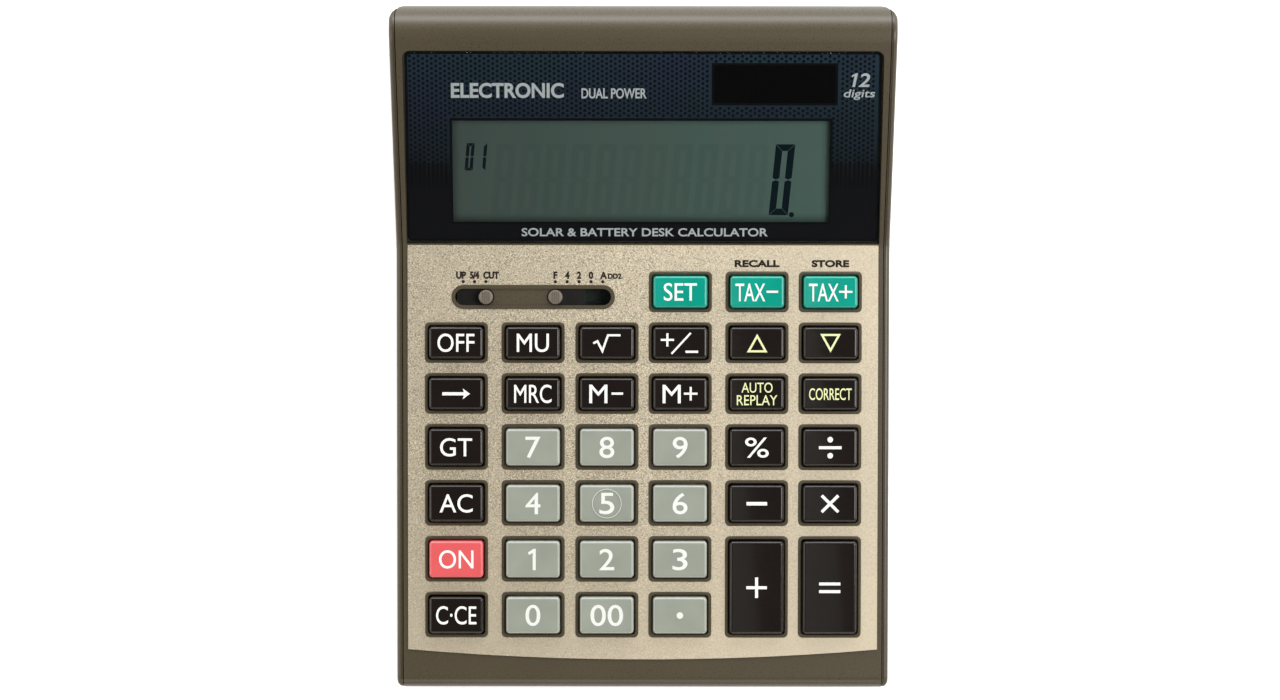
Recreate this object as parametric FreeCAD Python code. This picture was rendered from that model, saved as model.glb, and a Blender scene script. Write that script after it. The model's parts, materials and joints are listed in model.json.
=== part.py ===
import FreeCAD, Part
import math
import os

from FreeCAD import Placement, Rotation, Vector

# A twelve-digit desk calculator: a wedge-shaped two-part case, an aluminium face plate with 37 keys and two
# slide switches, and a raised head with a display lens, a liquid crystal display and a solar cell. X runs to
# the right, Y from the front edge to the back edge and Z up, in millimetres. The rubber feet stand on Z 0.

# ---- driving dimensions ----

LENGTH = 195.0
FOOT_PROUD = 1.0  # how far the feet stand out below the case
WALL = 2.0

KEYPAD_TILT = 2.4  # degrees above the horizontal
DISPLAY_TILT = 16.3
KINK_Y = 30.0  # where the keypad plane turns up into the head
KINK_Z = 17.65
KINK_RADIUS = 15.0
FRONT_EDGE_RADIUS = 3.2
CROWN_RADIUS = 8.6
FRONT_LEAN = 4.0  # degrees that the end walls lean in towards the base
BACK_LEAN = 4.0

FRONT_HALF_WIDTH = 70.7
BACK_HALF_WIDTH = 72.05
FLARE_START_Y = 27.0
FLARE_BEND_RADIUS = 220.0
FRONT_CORNER_RADIUS = 2.4
BACK_CORNER_RADIUS = 5.5
SIDE_EDGE_RADIUS = 1.2
BASE_EDGE_RADIUS = 1.6

SEAM_INSET = 1.9  # from the outer side of the case to the upper case
SEAM_GAP = 0.25
SEAM_CORNER_RADIUS = 4.0
SEAM_BACK_OVERRUN = 0.9  # the upper case's outline runs past the back wall by this much
SEAM_LIP_GAP = 0.45  # from the lower case's wall to the lips that reach up behind the seam
SEAM_LIP_THICKNESS = 0.9
SEAM_LIP_PROUD = 1.6
FRONT_LIP_HALF_LENGTH = 48.0
BACK_LIP_HALF_LENGTH = 52.0
BACK_LIP_DROP = 1.3  # extra room in front of the back lip, below the crown
STEP_WIDTH = 0.75  # shallow step on the lower case's rim, beside the seam
STEP_DEPTH = 0.35
UPPER_SIDE_WALL = 1.8
LOWER_SIDE_WALL = 2.2
FRONT_WALL_EXTRA = 0.3
BACK_WALL_EXTRA = 1.6
PARTING_FRONT_Z = 6.0
PARTING_BACK_Z = 19.0

# Heights along each face's own normal, counted from the upper case's outer surface.
PLATE_SEAT = -0.2
PLATE_TOP = 0.3
KEYPAD_UNDERSIDE = -2.2
BEZEL_TOP = 0.55
LENS_SEAT = -1.6
LENS_BOTTOM = -1.5
LENS_TOP = -0.1
DISPLAY_UNDERSIDE = -3.0

PLATE_HALF_WIDTH = 67.45
PLATE_BACK_Y = 29.75
PLATE_FRONT_MIDDLE_Y = -89.3
PLATE_FRONT_BOW = 2.9  # how far the plate's front edge bows out
PLATE_CLEARANCE = 0.1

LENS_HALF_WIDTH = 67.35
LENS_BACK_HALF_WIDTH = 67.7
LENS_V = (0.45, 56.0)  # front and back edge, measured up the display plane
LENS_CORNER_RADIUS = 1.8
LENS_CLEARANCE = 0.35
LENS_FRONT_CLEARANCE = 0.3
LENS_CHAMFER = 0.25

WINDOW_X = (-54.3, 53.1)
WINDOW_V = (5.95, 35.85)
SOLAR_WINDOW_X = (19.2, 55.4)
SOLAR_WINDOW_V = (40.8, 52.3)
WINDOW_MARGIN = 0.6

# ---- keys ----

COLUMN_X = (-53.5, -31.5, -10.3, 10.7, 32.7, 53.7)
LOW_KEY = 11.6  # front-to-back size of a function key's bezel
HIGH_KEY = 13.1  # the same for a number key
ROW_GAP = 3.0
FIRST_ROW_Y = 16.45
ROW_SIZES = (LOW_KEY, LOW_KEY, LOW_KEY, HIGH_KEY, HIGH_KEY, HIGH_KEY, HIGH_KEY)
BEZEL_WIDTH = 18.0
BEZEL_WALL = 0.85
BEZEL_CORNER_RADIUS = 1.3
BEZEL_CHAMFER = 0.2
BEZEL_ROOT = 0.5  # how far a bezel is sunk below the plate's seat
BEZEL_CLEARANCE = 0.06
KEY_GAP = 0.3
KEY_TOP = 2.6
KEY_DRAFT = 0.2
KEY_CORNER_RADIUS = 1.15
KEY_EDGE_RADIUS = 0.75
KEY_DISH = 0.22  # depth of the hollow in a key's top
KEY_WALL = 1.2
KEY_ROOF = 1.5
FLANGE_TOP = -2.35
FLANGE_THICKNESS = 0.9
FLANGE_LEDGE = 0.8  # how far the flange reaches past the bezel's opening
FLANGE_CORNER_RADIUS = 1.2
KEY_HOLLOW_CORNER_RADIUS = 0.6
PLUNGER_RADIUS = 2.3
PLUNGER_BOTTOM = -4.65
LOCATING_RING_RADIUS = 4.25
LOCATING_RING_WIDTH = 0.3
LOCATING_RING_HEIGHT = 0.13
LOCATING_RING_FOOT = 1.5

# Each key: its name, column and row. A tall key spans its row and the next.
KEYS = (
    ("key_set", 3, 0), ("key_tax_minus", 4, 0), ("key_tax_plus", 5, 0),
    ("key_off", 0, 1), ("key_mark_up", 1, 1), ("key_square_root", 2, 1),
    ("key_sign_change", 3, 1), ("key_step_up", 4, 1), ("key_step_down", 5, 1),
    ("key_backspace", 0, 2), ("key_memory_recall", 1, 2), ("key_memory_minus", 2, 2),
    ("key_memory_plus", 3, 2), ("key_auto_replay", 4, 2), ("key_correct", 5, 2),
    ("key_grand_total", 0, 3), ("key_7", 1, 3), ("key_8", 2, 3),
    ("key_9", 3, 3), ("key_percent", 4, 3), ("key_divide", 5, 3),
    ("key_all_clear", 0, 4), ("key_4", 1, 4), ("key_5", 2, 4),
    ("key_6", 3, 4), ("key_minus", 4, 4), ("key_multiply", 5, 4),
    ("key_on", 0, 5), ("key_1", 1, 5), ("key_2", 2, 5), ("key_3", 3, 5),
    ("key_clear_entry", 0, 6), ("key_0", 1, 6), ("key_00", 2, 6), ("key_decimal_point", 3, 6),
)
TALL_KEYS = (("key_plus", 4, 5), ("key_equals", 5, 5))

# ---- slide switches ----

SWITCH_Y = 14.9
SWITCH_FRAME_X = (-54.8, -8.1)
SWITCH_FRAME_WIDTH = 6.8
SWITCH_FRAME_RIM = 1.0
SWITCH_FRAME_RECESS = 0.3
SWITCH_SLOT_WIDTH = 4.7
KNOB_RADIUS = 2.05
KNOB_TOP = 1.7
ROUNDING_PITCH = 3.26  # between the three places of the rounding switch
DECIMAL_PITCH = 3.4  # between the five places of the decimal switch
ROUNDING_KNOB_X = -45.0  # it rests at its right-hand place
DECIMAL_KNOB_X = -25.1  # it rests at its left-hand place
SLIDER_HALF_LENGTH = 8.4
SLIDER_WIDTH = 7.4
SLIDER_TOP = -2.35
SLIDER_THICKNESS = 1.1
SLIDER_BLOCK = (9.0, 5.6)  # under the slider: length and width
SLIDER_BLOCK_BOTTOM = -6.2
KNOB_EDGE_RADIUS = 0.5
KNOB_RIBS = (-0.9, -0.3, 0.3, 0.9)
KNOB_RIB_WIDTH = 0.28
KNOB_RIB_DEPTH = 0.22
WIPER_BED = (7.6, 4.6)
WIPER_THICKNESS = 0.25
WIPER_GAP = 0.02  # under the slider's block
WIPER_LEGS = (-1.5, 0.0, 1.5)
WIPER_LEG_WIDTH = 0.7
WIPER_LEG_REACH = (-3.6, 2.2)
WIPER_BEND_RADIUS = 0.6
WIPER_LIFT = 0.05  # above the board's tracks

# ---- inside ----

DOME_SHEET_TOP = -7.0
BOARD_TOP = -8.0
BOARD_BOTTOM = -9.6
BOARD_HALF_WIDTH = 64.5
BOARD_Y = (-83.5, 28.3)
BOARD_NOTCH_X = 54.0
BOARD_NOTCH_Y = 20.6
DOME_SHEET_GAP = 0.02
DOME_SHEET_HALF_WIDTH = 62.5
DOME_SHEET_Y = (-82.6, 22.8)
DOME_SHEET_NOTCH = (-0.5, 8.8)  # the X and Y of the inner corner that leaves room for the switches
DOME_TOP = -4.7
DOME_BASE_RADIUS = 4.4
DOME_TOP_RADIUS = 2.6
DOME_INNER_BASE_RADIUS = 3.5
DOME_INNER_TOP_RADIUS = 2.0
DOME_ROOF = -5.6
PILL_RADIUS = 1.6
PILL_BOTTOM = -6.4
CHIP_Y = 21.5
RESIN_SPHERE_RADIUS = 13.0
RESIN_HEIGHT = 1.6

LCD_X = (-57.6, 56.4)
LCD_V = (3.6, 38.6)
LCD_TOP = -3.1
LCD_THICKNESS = 2.2
LCD_LEDGE = 2.2  # the rear glass's ledge in front of the front glass
LCD_CORNER_RADIUS = 0.3
LCD_FRAME_RIM = 1.6
LCD_FRAME_FLOOR = 1.2
LCD_FRAME_CLEARANCE = 0.15
LCD_FRAME_SHELF = 4.0
FLEX_HALF_WIDTH = 18.0
FLEX_THICKNESS = 0.15
FLEX_GAP = 0.02
FLEX_BEND_RADIUS = 0.8
SOLAR_CELL_X = (18.0, 56.6)
SOLAR_CELL_V = (40.3, 53.2)
SOLAR_CELL_THICKNESS = 1.2

CASE_SCREWS = ((-55.0, -90.2), (55.0, -90.2), (-61.0, 26.8), (61.0, 26.8), (-60.0, 88.8), (60.0, 88.8))
SCREW_HEAD_RADIUS = 2.4
SCREW_WELL_RADIUS = 2.75
SCREW_SHANK_RADIUS = 1.15
SCREW_PILOT_RADIUS = 1.2
SCREW_HOLE_RADIUS = 1.45
SCREW_BOSS_RADIUS = 3.2
SCREW_SHELF = 2.0  # the lower boss's floor under the screw's head
SCREW_WELL_WALL = 0.9
SCREW_HEAD = 1.6
SCREW_HEAD_EDGE_RADIUS = 0.6
SCREW_CROSS = (1.3, 0.3)  # half the length and half the width of each arm of the recess
SCREW_CROSS_DEPTH = 0.9
SCREW_BITE = 6.0
SCREW_TIP_GAP = 0.8
BOSS_FLOOR_RISE = 2.6
BOSS_REACH = 10.5  # longest boss under the upper case's roof
BOSS_GAP = 0.1  # between the upper case's boss and the lower one
BOARD_SCREWS = ((-42.5, 24.3), (21.7, 24.8), (-42.5, -5.25), (21.7, -5.25), (-42.5, -36.1), (21.7, -36.1))
BOARD_BOSS_RADIUS = 1.7
BOARD_SCREW_RADIUS = 0.75
BOARD_PILOT_RADIUS = 0.8
BOARD_HOLE_RADIUS = 0.9
BOARD_SCREW_HEAD_RADIUS = 1.6
BOARD_SCREW_HEAD = 0.8
BOARD_SCREW_BITE = 3.6
BOARD_SCREW_SLOT = (1.2, 0.2)
BOARD_SCREW_SLOT_DEPTH = 0.4
BOARD_REST_GAP = 0.1
BOARD_PEG_RADIUS = 2.0
BOARD_PEGS = ((-50.0, 12.0), (0.0, 12.0), (50.0, 12.0), (-50.0, -20.5), (0.0, -20.5), (50.0, -20.5))
BOARD_RIBS = ((-20.0, -50.0), (20.0, -50.0), (-20.0, 2.0), (20.0, 2.0))
BOARD_RIB_HALF_LENGTH = 6.0
BOARD_RIB_THICKNESS = 1.2

FEET = ((-57.5, -79.0), (57.5, -79.0), (-58.5, 74.0), (58.5, 74.0))
FOOT_RADIUS = 5.0
FOOT_RECESS = 1.0
FOOT_CLEARANCE = 0.1
FOOT_EDGE_RADIUS = 0.4
LABEL_RECESS = (62.0, 34.0)
LABEL_RECESS_Y = 20.0
LABEL_RECESS_DEPTH = 0.3
LABEL_RECESS_CORNER_RADIUS = 2.0

CELL_RADIUS = 7.25  # an AA cell
CELL_LENGTH = 49.0
CELL_NUB_RADIUS = 2.6
CELL_NUB = 1.2
CELL_EDGE_RADIUS = 0.5
CELL_Y = 70.0
CELL_Z = 10.25
BAY_HALF_LENGTH = 27.5
BAY_Y = (61.6, 78.4)
BAY_ROOF_Z = 17.8
BAY_WALL = 1.3
CONTACT_THICKNESS = 0.4
CONTACT_HALF_WIDTH = 5.0
CONTACT_HALF_HEIGHT = 5.5
CONTACT_TAIL_HALF_WIDTH = 1.5
CONTACT_TAIL_TOP = 20.4
CONTACT_CLEARANCE = 0.1
TAIL_CLEARANCE = 0.2
LEAF_HALF_WIDTH = 2.5
LEAF_FOOT = 0.35  # how far the leaf starts in front of its plate
LEAF_TIP = (0.9, 4.0)  # how far its free end is in front of the plate and above the nose
LEAF_NOSE_RADIUS = 1.0
WIRE_RADIUS = 0.5
WIRE_BEND_RADIUS = 1.2
WIRE_GAP = 0.05  # above the board
WIRE_LAY = (12.5, 34.0)  # the height at which the wires drop, and the Y where they meet the board
SOLAR_WIRE_X = (46.0, 50.0)
SOLAR_WIRE_BEND_RADIUS = 1.8
SOLAR_WIRE_DROP = 6.0
DOOR_HALF_LENGTH = 30.0
DOOR_Y = (57.0, 82.0)
DOOR_THICKNESS = 1.8
DOOR_GAP = 0.25
DOOR_PIN_RADIUS = 0.55
DOOR_PIN_HOLE_RADIUS = 0.62
DOOR_PIN_LENGTH = 2.2
DOOR_PIN_END_GAP = 0.2
DOOR_SEAT_WALL = 1.2
DOOR_SEAT_MARGIN = (4.0, 2.0, 4.5)  # beside, in front of and behind the door
DOOR_NOTCH_RADIUS = 9.0
DOOR_NOTCH_PLACE = (3.4, -7.6)  # the sphere's centre, behind the door's edge and below the base
GRIP_HALF_LENGTH = 8.0
GRIP_GROOVES = 5
GRIP_PITCH = 1.6
GRIP_WIDTH = 0.8
GRIP_DEPTH = 0.35
GRIP_START = 9.0  # from the door's free edge

# ---- frames ----

REACH = 400.0  # longer than anything on the case
ROOT = 0.5  # how far a post or rib is sunk into the wall it grows from
OVERLAP = 0.1  # how far two solids that are joined pass into each other
BASE_Z = FOOT_PROUD
FLOOR_Z = BASE_Z + WALL
KEYPAD_FRAME = Placement(Vector(0, KINK_Y, KINK_Z), Rotation(Vector(1, 0, 0), KEYPAD_TILT))
DISPLAY_FRAME = Placement(Vector(0, KINK_Y, KINK_Z), Rotation(Vector(1, 0, 0), DISPLAY_TILT))
KEYPAD_COS = math.cos(math.radians(KEYPAD_TILT))


def placed(shape, frame):
    """A copy of a shape that was drawn in a frame's own coordinates, moved to where the frame is."""
    moved = shape.copy()
    moved.Placement = frame.multiply(moved.Placement)
    return moved


def keypad_v(y):
    """How far up the keypad plane a place of that Y lies. It is negative in front of the kink."""
    return (y - KINK_Y) / KEYPAD_COS


def slope_z(y, tilt):
    """Height at Y of the plane that leaves the kink at that tilt."""
    return KINK_Z + (y - KINK_Y) * math.tan(math.radians(tilt))


def parting_z(y):
    """Height of the plane between the lower and the upper case."""
    share = (y + LENGTH / 2) / LENGTH
    return PARTING_FRONT_Z + share * (PARTING_BACK_Z - PARTING_FRONT_Z)


def row_y(row):
    """Centre of a row of keys."""
    y = FIRST_ROW_Y
    for i in range(row):
        y -= (ROW_SIZES[i] + ROW_SIZES[i + 1]) / 2 + ROW_GAP
    return y


def all_keys():
    """(name, centre X, centre Y, bezel's front-to-back size, the Y of each rubber dome) of every key."""
    found = [(name, COLUMN_X[c], row_y(r), ROW_SIZES[r], (row_y(r),)) for name, c, r in KEYS]
    for name, c, r in TALL_KEYS:
        back, front = row_y(r), row_y(r + 1)
        size = ROW_SIZES[r] / 2 + ROW_SIZES[r + 1] / 2 + back - front
        found.append((name, COLUMN_X[c], (back + front) / 2, size, (back, front)))
    return found


# ---- outlines and simple solids ----


def to_plan(a, b):
    return Vector(a, b, 0)


def to_side(a, b):
    return Vector(0, a, b)


def to_front(a, b):
    return Vector(a, 0, b)


def rounded_polygon(corners, plane=to_plan):
    """A face from (a, b, radius) corners, each rounded by an arc that is tangent to its two sides."""
    starts, ends, middles = [], [], []
    for i, (a, b, radius) in enumerate(corners):
        here = Vector(a, b, 0)
        before = Vector(*corners[i - 1][:2], 0) - here
        after = Vector(*corners[(i + 1) % len(corners)][:2], 0) - here
        before.normalize()
        after.normalize()
        half = before.getAngle(after) / 2
        back = radius / math.tan(half)
        inward = (before + after).normalize() if radius else Vector()
        starts.append(here + before * back)
        ends.append(here + after * back)
        middles.append(here + inward * (radius / math.sin(half) - radius))
    edges = []
    for i, corner in enumerate(corners):
        start, end, middle = (plane(p.x, p.y) for p in (starts[i], ends[i], middles[i]))
        if corner[2]:
            edges.append(Part.Arc(start, middle, end).toShape())
        nxt = starts[(i + 1) % len(corners)]
        edges.append(Part.makeLine(end, plane(nxt.x, nxt.y)))
    return Part.Face(Part.Wire(edges))


def slab(face, low, high):
    """A plan face stood up between two heights."""
    face = face.copy()
    face.translate(Vector(0, 0, low))
    return face.extrude(Vector(0, 0, high - low))


def across(face, half_width=REACH):
    """A side face stretched along X, as far each way."""
    face = face.copy()
    face.translate(Vector(-half_width, 0, 0))
    return face.extrude(Vector(2 * half_width, 0, 0))


def rounded_rectangle(centre_x, centre_y, width, depth, radius):
    x, y = width / 2, depth / 2
    return rounded_polygon([(centre_x + sx * x, centre_y + sy * y, radius)
                            for sx, sy in ((-1, -1), (1, -1), (1, 1), (-1, 1))])


def span_rectangle(span_x, span_y, radius, grow=0.0):
    """A rounded rectangle from its X and Y limits, grown on every side."""
    return rounded_rectangle(sum(span_x) / 2, sum(span_y) / 2, span_x[1] - span_x[0] + 2 * grow,
                             span_y[1] - span_y[0] + 2 * grow, radius)


def box(span_x, span_y, span_z):
    corner = Vector(span_x[0], span_y[0], span_z[0])
    return Part.makeBox(span_x[1] - span_x[0], span_y[1] - span_y[0], span_z[1] - span_z[0], corner)


def post(x, y, low, high, radius):
    return Part.makeCylinder(radius, high - low, Vector(x, y, low))


def fused(shapes):
    """One solid from shapes that touch or overlap."""
    first, *others = shapes
    return first.multiFuse(others).removeSplitter() if others else first


def cut(shape, tools):
    return shape.cut(Part.makeCompound(tools))


def tube(points, bend, radius):
    """A round wire along straight runs joined by tangent arcs."""
    edges, at = [], points[0]
    for i in range(1, len(points) - 1):
        here = points[i]
        before = (points[i - 1] - here).normalize()
        after = (points[i + 1] - here).normalize()
        half = before.getAngle(after) / 2
        back = bend / math.tan(half)
        inward = (before + after).normalize()
        start, end = here + before * back, here + after * back
        middle = here + inward * (bend / math.sin(half) - bend)
        edges += [Part.makeLine(at, start), Part.Arc(start, middle, end).toShape()]
        at = end
    edges.append(Part.makeLine(at, points[-1]))
    direction = points[1] - points[0]
    ring = Part.Wire(Part.makeCircle(radius, points[0], direction))
    return Part.Wire(edges).makePipeShell([ring], True, False)


# ---- the case's envelope ----


def plan_face(inset, front_y, back_y, front_radius, back_radius):
    """The case's plan outline, its sides inset: straight beside the keys, then flaring to the back."""
    front, back = FRONT_HALF_WIDTH - inset, BACK_HALF_WIDTH - inset
    right = [(front, front_y, front_radius), (front, FLARE_START_Y, FLARE_BEND_RADIUS),
             (back, back_y, back_radius)]
    return rounded_polygon(right + [(-x, y, r) for x, y, r in reversed(right)])


def crown_circle(radius, inset):
    """Centre of an arc under the display plane that reaches back to that inset from the case's back."""
    y = LENGTH / 2 - inset - radius
    return y, slope_z(y, DISPLAY_TILT) - (radius + inset) / math.cos(math.radians(DISPLAY_TILT))


def leaning_corner(edge_y, lean, tilt, radius):
    """Where an end wall that leans in towards the base meets a sloping plane, so that the arc of that radius
    between them reaches edge_y and no further."""
    side = 1 if edge_y > 0 else -1
    centre_y = edge_y - side * radius
    centre_z = slope_z(centre_y, tilt) - radius / math.cos(math.radians(tilt))
    lean = math.radians(lean)
    wall_y, wall_z = centre_y + side * radius * math.cos(lean), centre_z - radius * math.sin(lean)
    # The wall is y = wall_y + side * (z - wall_z) * tan(lean); it meets z = slope_z(y).
    rise = math.tan(math.radians(tilt))
    z = (slope_z(wall_y, tilt) - side * rise * wall_z * math.tan(lean)) / (1 - side * rise * math.tan(lean))
    return wall_y + side * (z - wall_z) * math.tan(lean), z


def side_face(drop=0.0):
    """The case seen from the side, or the same with its top surface lowered."""
    front_y, front_z = leaning_corner(-LENGTH / 2, FRONT_LEAN, KEYPAD_TILT, FRONT_EDGE_RADIUS)
    back_y, back_z = leaning_corner(LENGTH / 2, BACK_LEAN, DISPLAY_TILT, CROWN_RADIUS)
    front_foot = front_y + (front_z - BASE_Z) * math.tan(math.radians(FRONT_LEAN))
    back_foot = back_y - (back_z - BASE_Z) * math.tan(math.radians(BACK_LEAN))
    return rounded_polygon([
        (front_foot, BASE_Z, BASE_EDGE_RADIUS), (back_foot, BASE_Z, BASE_EDGE_RADIUS),
        (back_y, back_z - drop, CROWN_RADIUS), (KINK_Y, KINK_Z - drop, KINK_RADIUS),
        (front_y, front_z - drop, FRONT_EDGE_RADIUS)], to_side)


def hollow_face():
    """The space inside the case seen from the side."""
    keypad = KEYPAD_UNDERSIDE / KEYPAD_COS
    display = DISPLAY_UNDERSIDE / math.cos(math.radians(DISPLAY_TILT))
    front, back = -LENGTH / 2 + WALL + FRONT_WALL_EXTRA, LENGTH / 2 - WALL - BACK_WALL_EXTRA
    turn = math.tan(math.radians(DISPLAY_TILT)) - math.tan(math.radians(KEYPAD_TILT))
    kink_y = KINK_Y + (keypad - display) / turn
    kink_z = slope_z(kink_y, KEYPAD_TILT) + keypad
    crown = CROWN_RADIUS - WALL
    return rounded_polygon([
        (front, FLOOR_Z, 0), (back, FLOOR_Z, 0), (back, slope_z(back, DISPLAY_TILT) + display, crown),
        (kink_y, kink_z, 0), (front, slope_z(front, KEYPAD_TILT) + keypad, 1.0)], to_side)


def above_parting(gap=0.0):
    """Everything above the parting plane, lowered by a gap."""
    return across(rounded_polygon([
        (-REACH, parting_z(-REACH) - gap, 0), (REACH, parting_z(REACH) - gap, 0), (REACH, REACH, 0),
        (-REACH, REACH, 0)], to_side))


def envelope():
    """The outside of the closed case: squared off, rounded along its sides and trimmed at its corners."""
    ends = LENGTH / 2 + 5
    body = across(side_face()).common(slab(plan_face(0, -ends, ends, 0, 0), -REACH, REACH))
    body = body.makeFillet(SIDE_EDGE_RADIUS, side_edges(body))
    corners = plan_face(0, -LENGTH / 2 - 0.01, LENGTH / 2 + 0.01, FRONT_CORNER_RADIUS, BACK_CORNER_RADIUS)
    return body.common(slab(corners, -REACH, REACH))


def side_edges(body):
    """The edges all round the two sides of the case: those that run neither across it nor straight up."""
    return [e for e in body.Edges if e.BoundBox.XLength < 10 and e.BoundBox.YLength > 0.05]


def upper_outline(grow):
    """The upper case's outline, which the seam follows. It is open in front and rounds the back corners."""
    back = LENGTH / 2 + SEAM_BACK_OVERRUN + grow
    return plan_face(SEAM_INSET - grow, -REACH, back, 0, SEAM_CORNER_RADIUS + grow)


# ---- the upper case ----


def plate_face(grow=0.0):
    """The face plate's outline in the keypad frame, with its bowed front edge."""
    half, back = PLATE_HALF_WIDTH + grow, keypad_v(PLATE_BACK_Y) + grow
    middle = keypad_v(PLATE_FRONT_MIDDLE_Y) - grow
    side = middle + PLATE_FRONT_BOW
    right, left = Vector(half, side, 0), Vector(-half, side, 0)
    return Part.Face(Part.Wire([
        Part.Arc(left, Vector(0, middle, 0), right).toShape(),
        Part.makeLine(right, Vector(half, back, 0)),
        Part.makeLine(Vector(half, back, 0), Vector(-half, back, 0)),
        Part.makeLine(Vector(-half, back, 0), left)]))


def lens_face(grow=0.0):
    """The lens's outline in the display frame: square in front, a little wider and rounded at the back."""
    front_half, back_half = LENS_HALF_WIDTH + grow, LENS_BACK_HALF_WIDTH + grow
    radius = LENS_CORNER_RADIUS + grow
    front, back = LENS_V[0] - (LENS_FRONT_CLEARANCE if grow else 0), LENS_V[1] + grow
    return rounded_polygon([(-front_half, front, 0), (front_half, front, 0), (back_half, back, radius),
                            (-back_half, back, radius)])


def bezel_face(x, y, depth, grow=0.0):
    radius = BEZEL_CORNER_RADIUS + grow
    return rounded_rectangle(x, keypad_v(y), BEZEL_WIDTH + 2 * grow, depth + 2 * grow, radius)


def bezel(x, y, depth):
    """A key's bezel, before its opening is cut, with a chamfer round its outer edge."""
    body = slab(bezel_face(x, y, depth), PLATE_SEAT - BEZEL_ROOT, BEZEL_TOP)
    return body.makeChamfer(BEZEL_CHAMFER, [e for e in body.Edges if e.BoundBox.ZMin > BEZEL_TOP - 0.01])


def key_opening(x, y, depth):
    """The tool that cuts a key's opening, flared at the bezel's top."""
    low, high = (rounded_rectangle(x, keypad_v(y), BEZEL_WIDTH + 2 * grow, depth + 2 * grow,
                                   BEZEL_CORNER_RADIUS + grow / 2)
                 for grow in (-BEZEL_WALL, 2 * BEZEL_CHAMFER - BEZEL_WALL))
    straight = slab(low, -5, 5)
    low.translate(Vector(0, 0, BEZEL_TOP - BEZEL_CHAMFER))
    high.translate(Vector(0, 0, BEZEL_TOP + BEZEL_CHAMFER))
    return straight.fuse(Part.makeLoft([low.OuterWire, high.OuterWire], True, True))


def switch_frame_face(grow=0.0):
    width = SWITCH_FRAME_WIDTH + 2 * grow
    left, right = SWITCH_FRAME_X[0] - grow, SWITCH_FRAME_X[1] + grow
    return rounded_rectangle((left + right) / 2, keypad_v(SWITCH_Y), right - left, width, width / 2 - 0.01)


def switch_slots():
    """The (left, right) knob places of the two switches."""
    return ((ROUNDING_KNOB_X - 2 * ROUNDING_PITCH, ROUNDING_KNOB_X),
            (DECIMAL_KNOB_X, DECIMAL_KNOB_X + 4 * DECIMAL_PITCH))


def slot_face(left, right):
    end = SWITCH_SLOT_WIDTH / 2
    length = right - left + 2 * end
    return rounded_rectangle((left + right) / 2, keypad_v(SWITCH_Y), length, 2 * end, end - 0.01)


def upper_case(outside):
    """The upper case: a shell with seats for the plate and the lens, bezels round the keys, and bosses."""
    shell = outside.common(slab(upper_outline(0), -REACH, REACH)).common(above_parting())
    inside_plan = plan_face(SEAM_INSET + UPPER_SIDE_WALL, -REACH, LENGTH / 2 - WALL, 0, SEAM_CORNER_RADIUS)
    hollow = across(hollow_face()).common(slab(inside_plan, -REACH, REACH))
    shell = shell.cut(hollow)

    plate_seat = placed(slab(plate_face(PLATE_CLEARANCE), PLATE_SEAT, 20), KEYPAD_FRAME)
    lens_seat = placed(slab(lens_face(LENS_CLEARANCE), LENS_SEAT, 20), DISPLAY_FRAME)
    windows = [placed(slab(span_rectangle(x, v, WINDOW_MARGIN, WINDOW_MARGIN), -10, 5), DISPLAY_FRAME)
               for x, v in ((WINDOW_X, WINDOW_V), (SOLAR_WINDOW_X, SOLAR_WINDOW_V))]
    shell = cut(shell, [plate_seat, lens_seat] + windows)

    bezels = [bezel(x, y, depth) for _, x, y, depth, _ in all_keys()]
    bezels.append(slab(switch_frame_face(), PLATE_SEAT - BEZEL_ROOT, BEZEL_TOP))
    openings = [key_opening(x, y, depth) for _, x, y, depth, _ in all_keys()]
    openings.append(slab(switch_frame_face(-SWITCH_FRAME_RIM), BEZEL_TOP - SWITCH_FRAME_RECESS, 5))
    openings += [slab(slot_face(*ends), -5, 5) for ends in switch_slots()]
    shell = shell.fuse([placed(b, KEYPAD_FRAME) for b in bezels])
    shell = cut(shell, [placed(o, KEYPAD_FRAME) for o in openings])

    bosses = [post(x, y, boss_floor(y) + BOSS_GAP, roof_z(y) + ROOT, SCREW_BOSS_RADIUS)
              for x, y in CASE_SCREWS]
    pilots = [post(x, y, 0, screw_tip(y) + ROOT, SCREW_PILOT_RADIUS) for x, y in CASE_SCREWS]
    top = KEYPAD_UNDERSIDE + ROOT
    board_bosses = [placed(post(x, keypad_v(y), BOARD_TOP, top, BOARD_BOSS_RADIUS), KEYPAD_FRAME)
                    for x, y in BOARD_SCREWS]
    board_pilots = [placed(post(x, keypad_v(y), BOARD_TOP - 1, KEYPAD_UNDERSIDE - 1, BOARD_PILOT_RADIUS),
                           KEYPAD_FRAME) for x, y in BOARD_SCREWS]
    return cut(fused([shell] + bosses + board_bosses), pilots + board_pilots)


def roof_z(y):
    """Underside of the upper case."""
    if y < KINK_Y:
        return slope_z(y, KEYPAD_TILT) + KEYPAD_UNDERSIDE / KEYPAD_COS
    centre_y, centre_z = crown_circle(CROWN_RADIUS - WALL, WALL)
    flat = slope_z(y, DISPLAY_TILT) + DISPLAY_UNDERSIDE / math.cos(math.radians(DISPLAY_TILT))
    return min(flat, centre_z + CROWN_RADIUS - WALL)


def boss_floor(y):
    """Top of the lower case's boss, where the upper case's boss stands on it."""
    return max(FLOOR_Z + BOSS_FLOOR_RISE, roof_z(y) - BOSS_REACH)


def screw_tip(y):
    return min(roof_z(y) - SCREW_TIP_GAP, boss_floor(y) + SCREW_BITE)


# ---- the lower case ----


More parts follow.
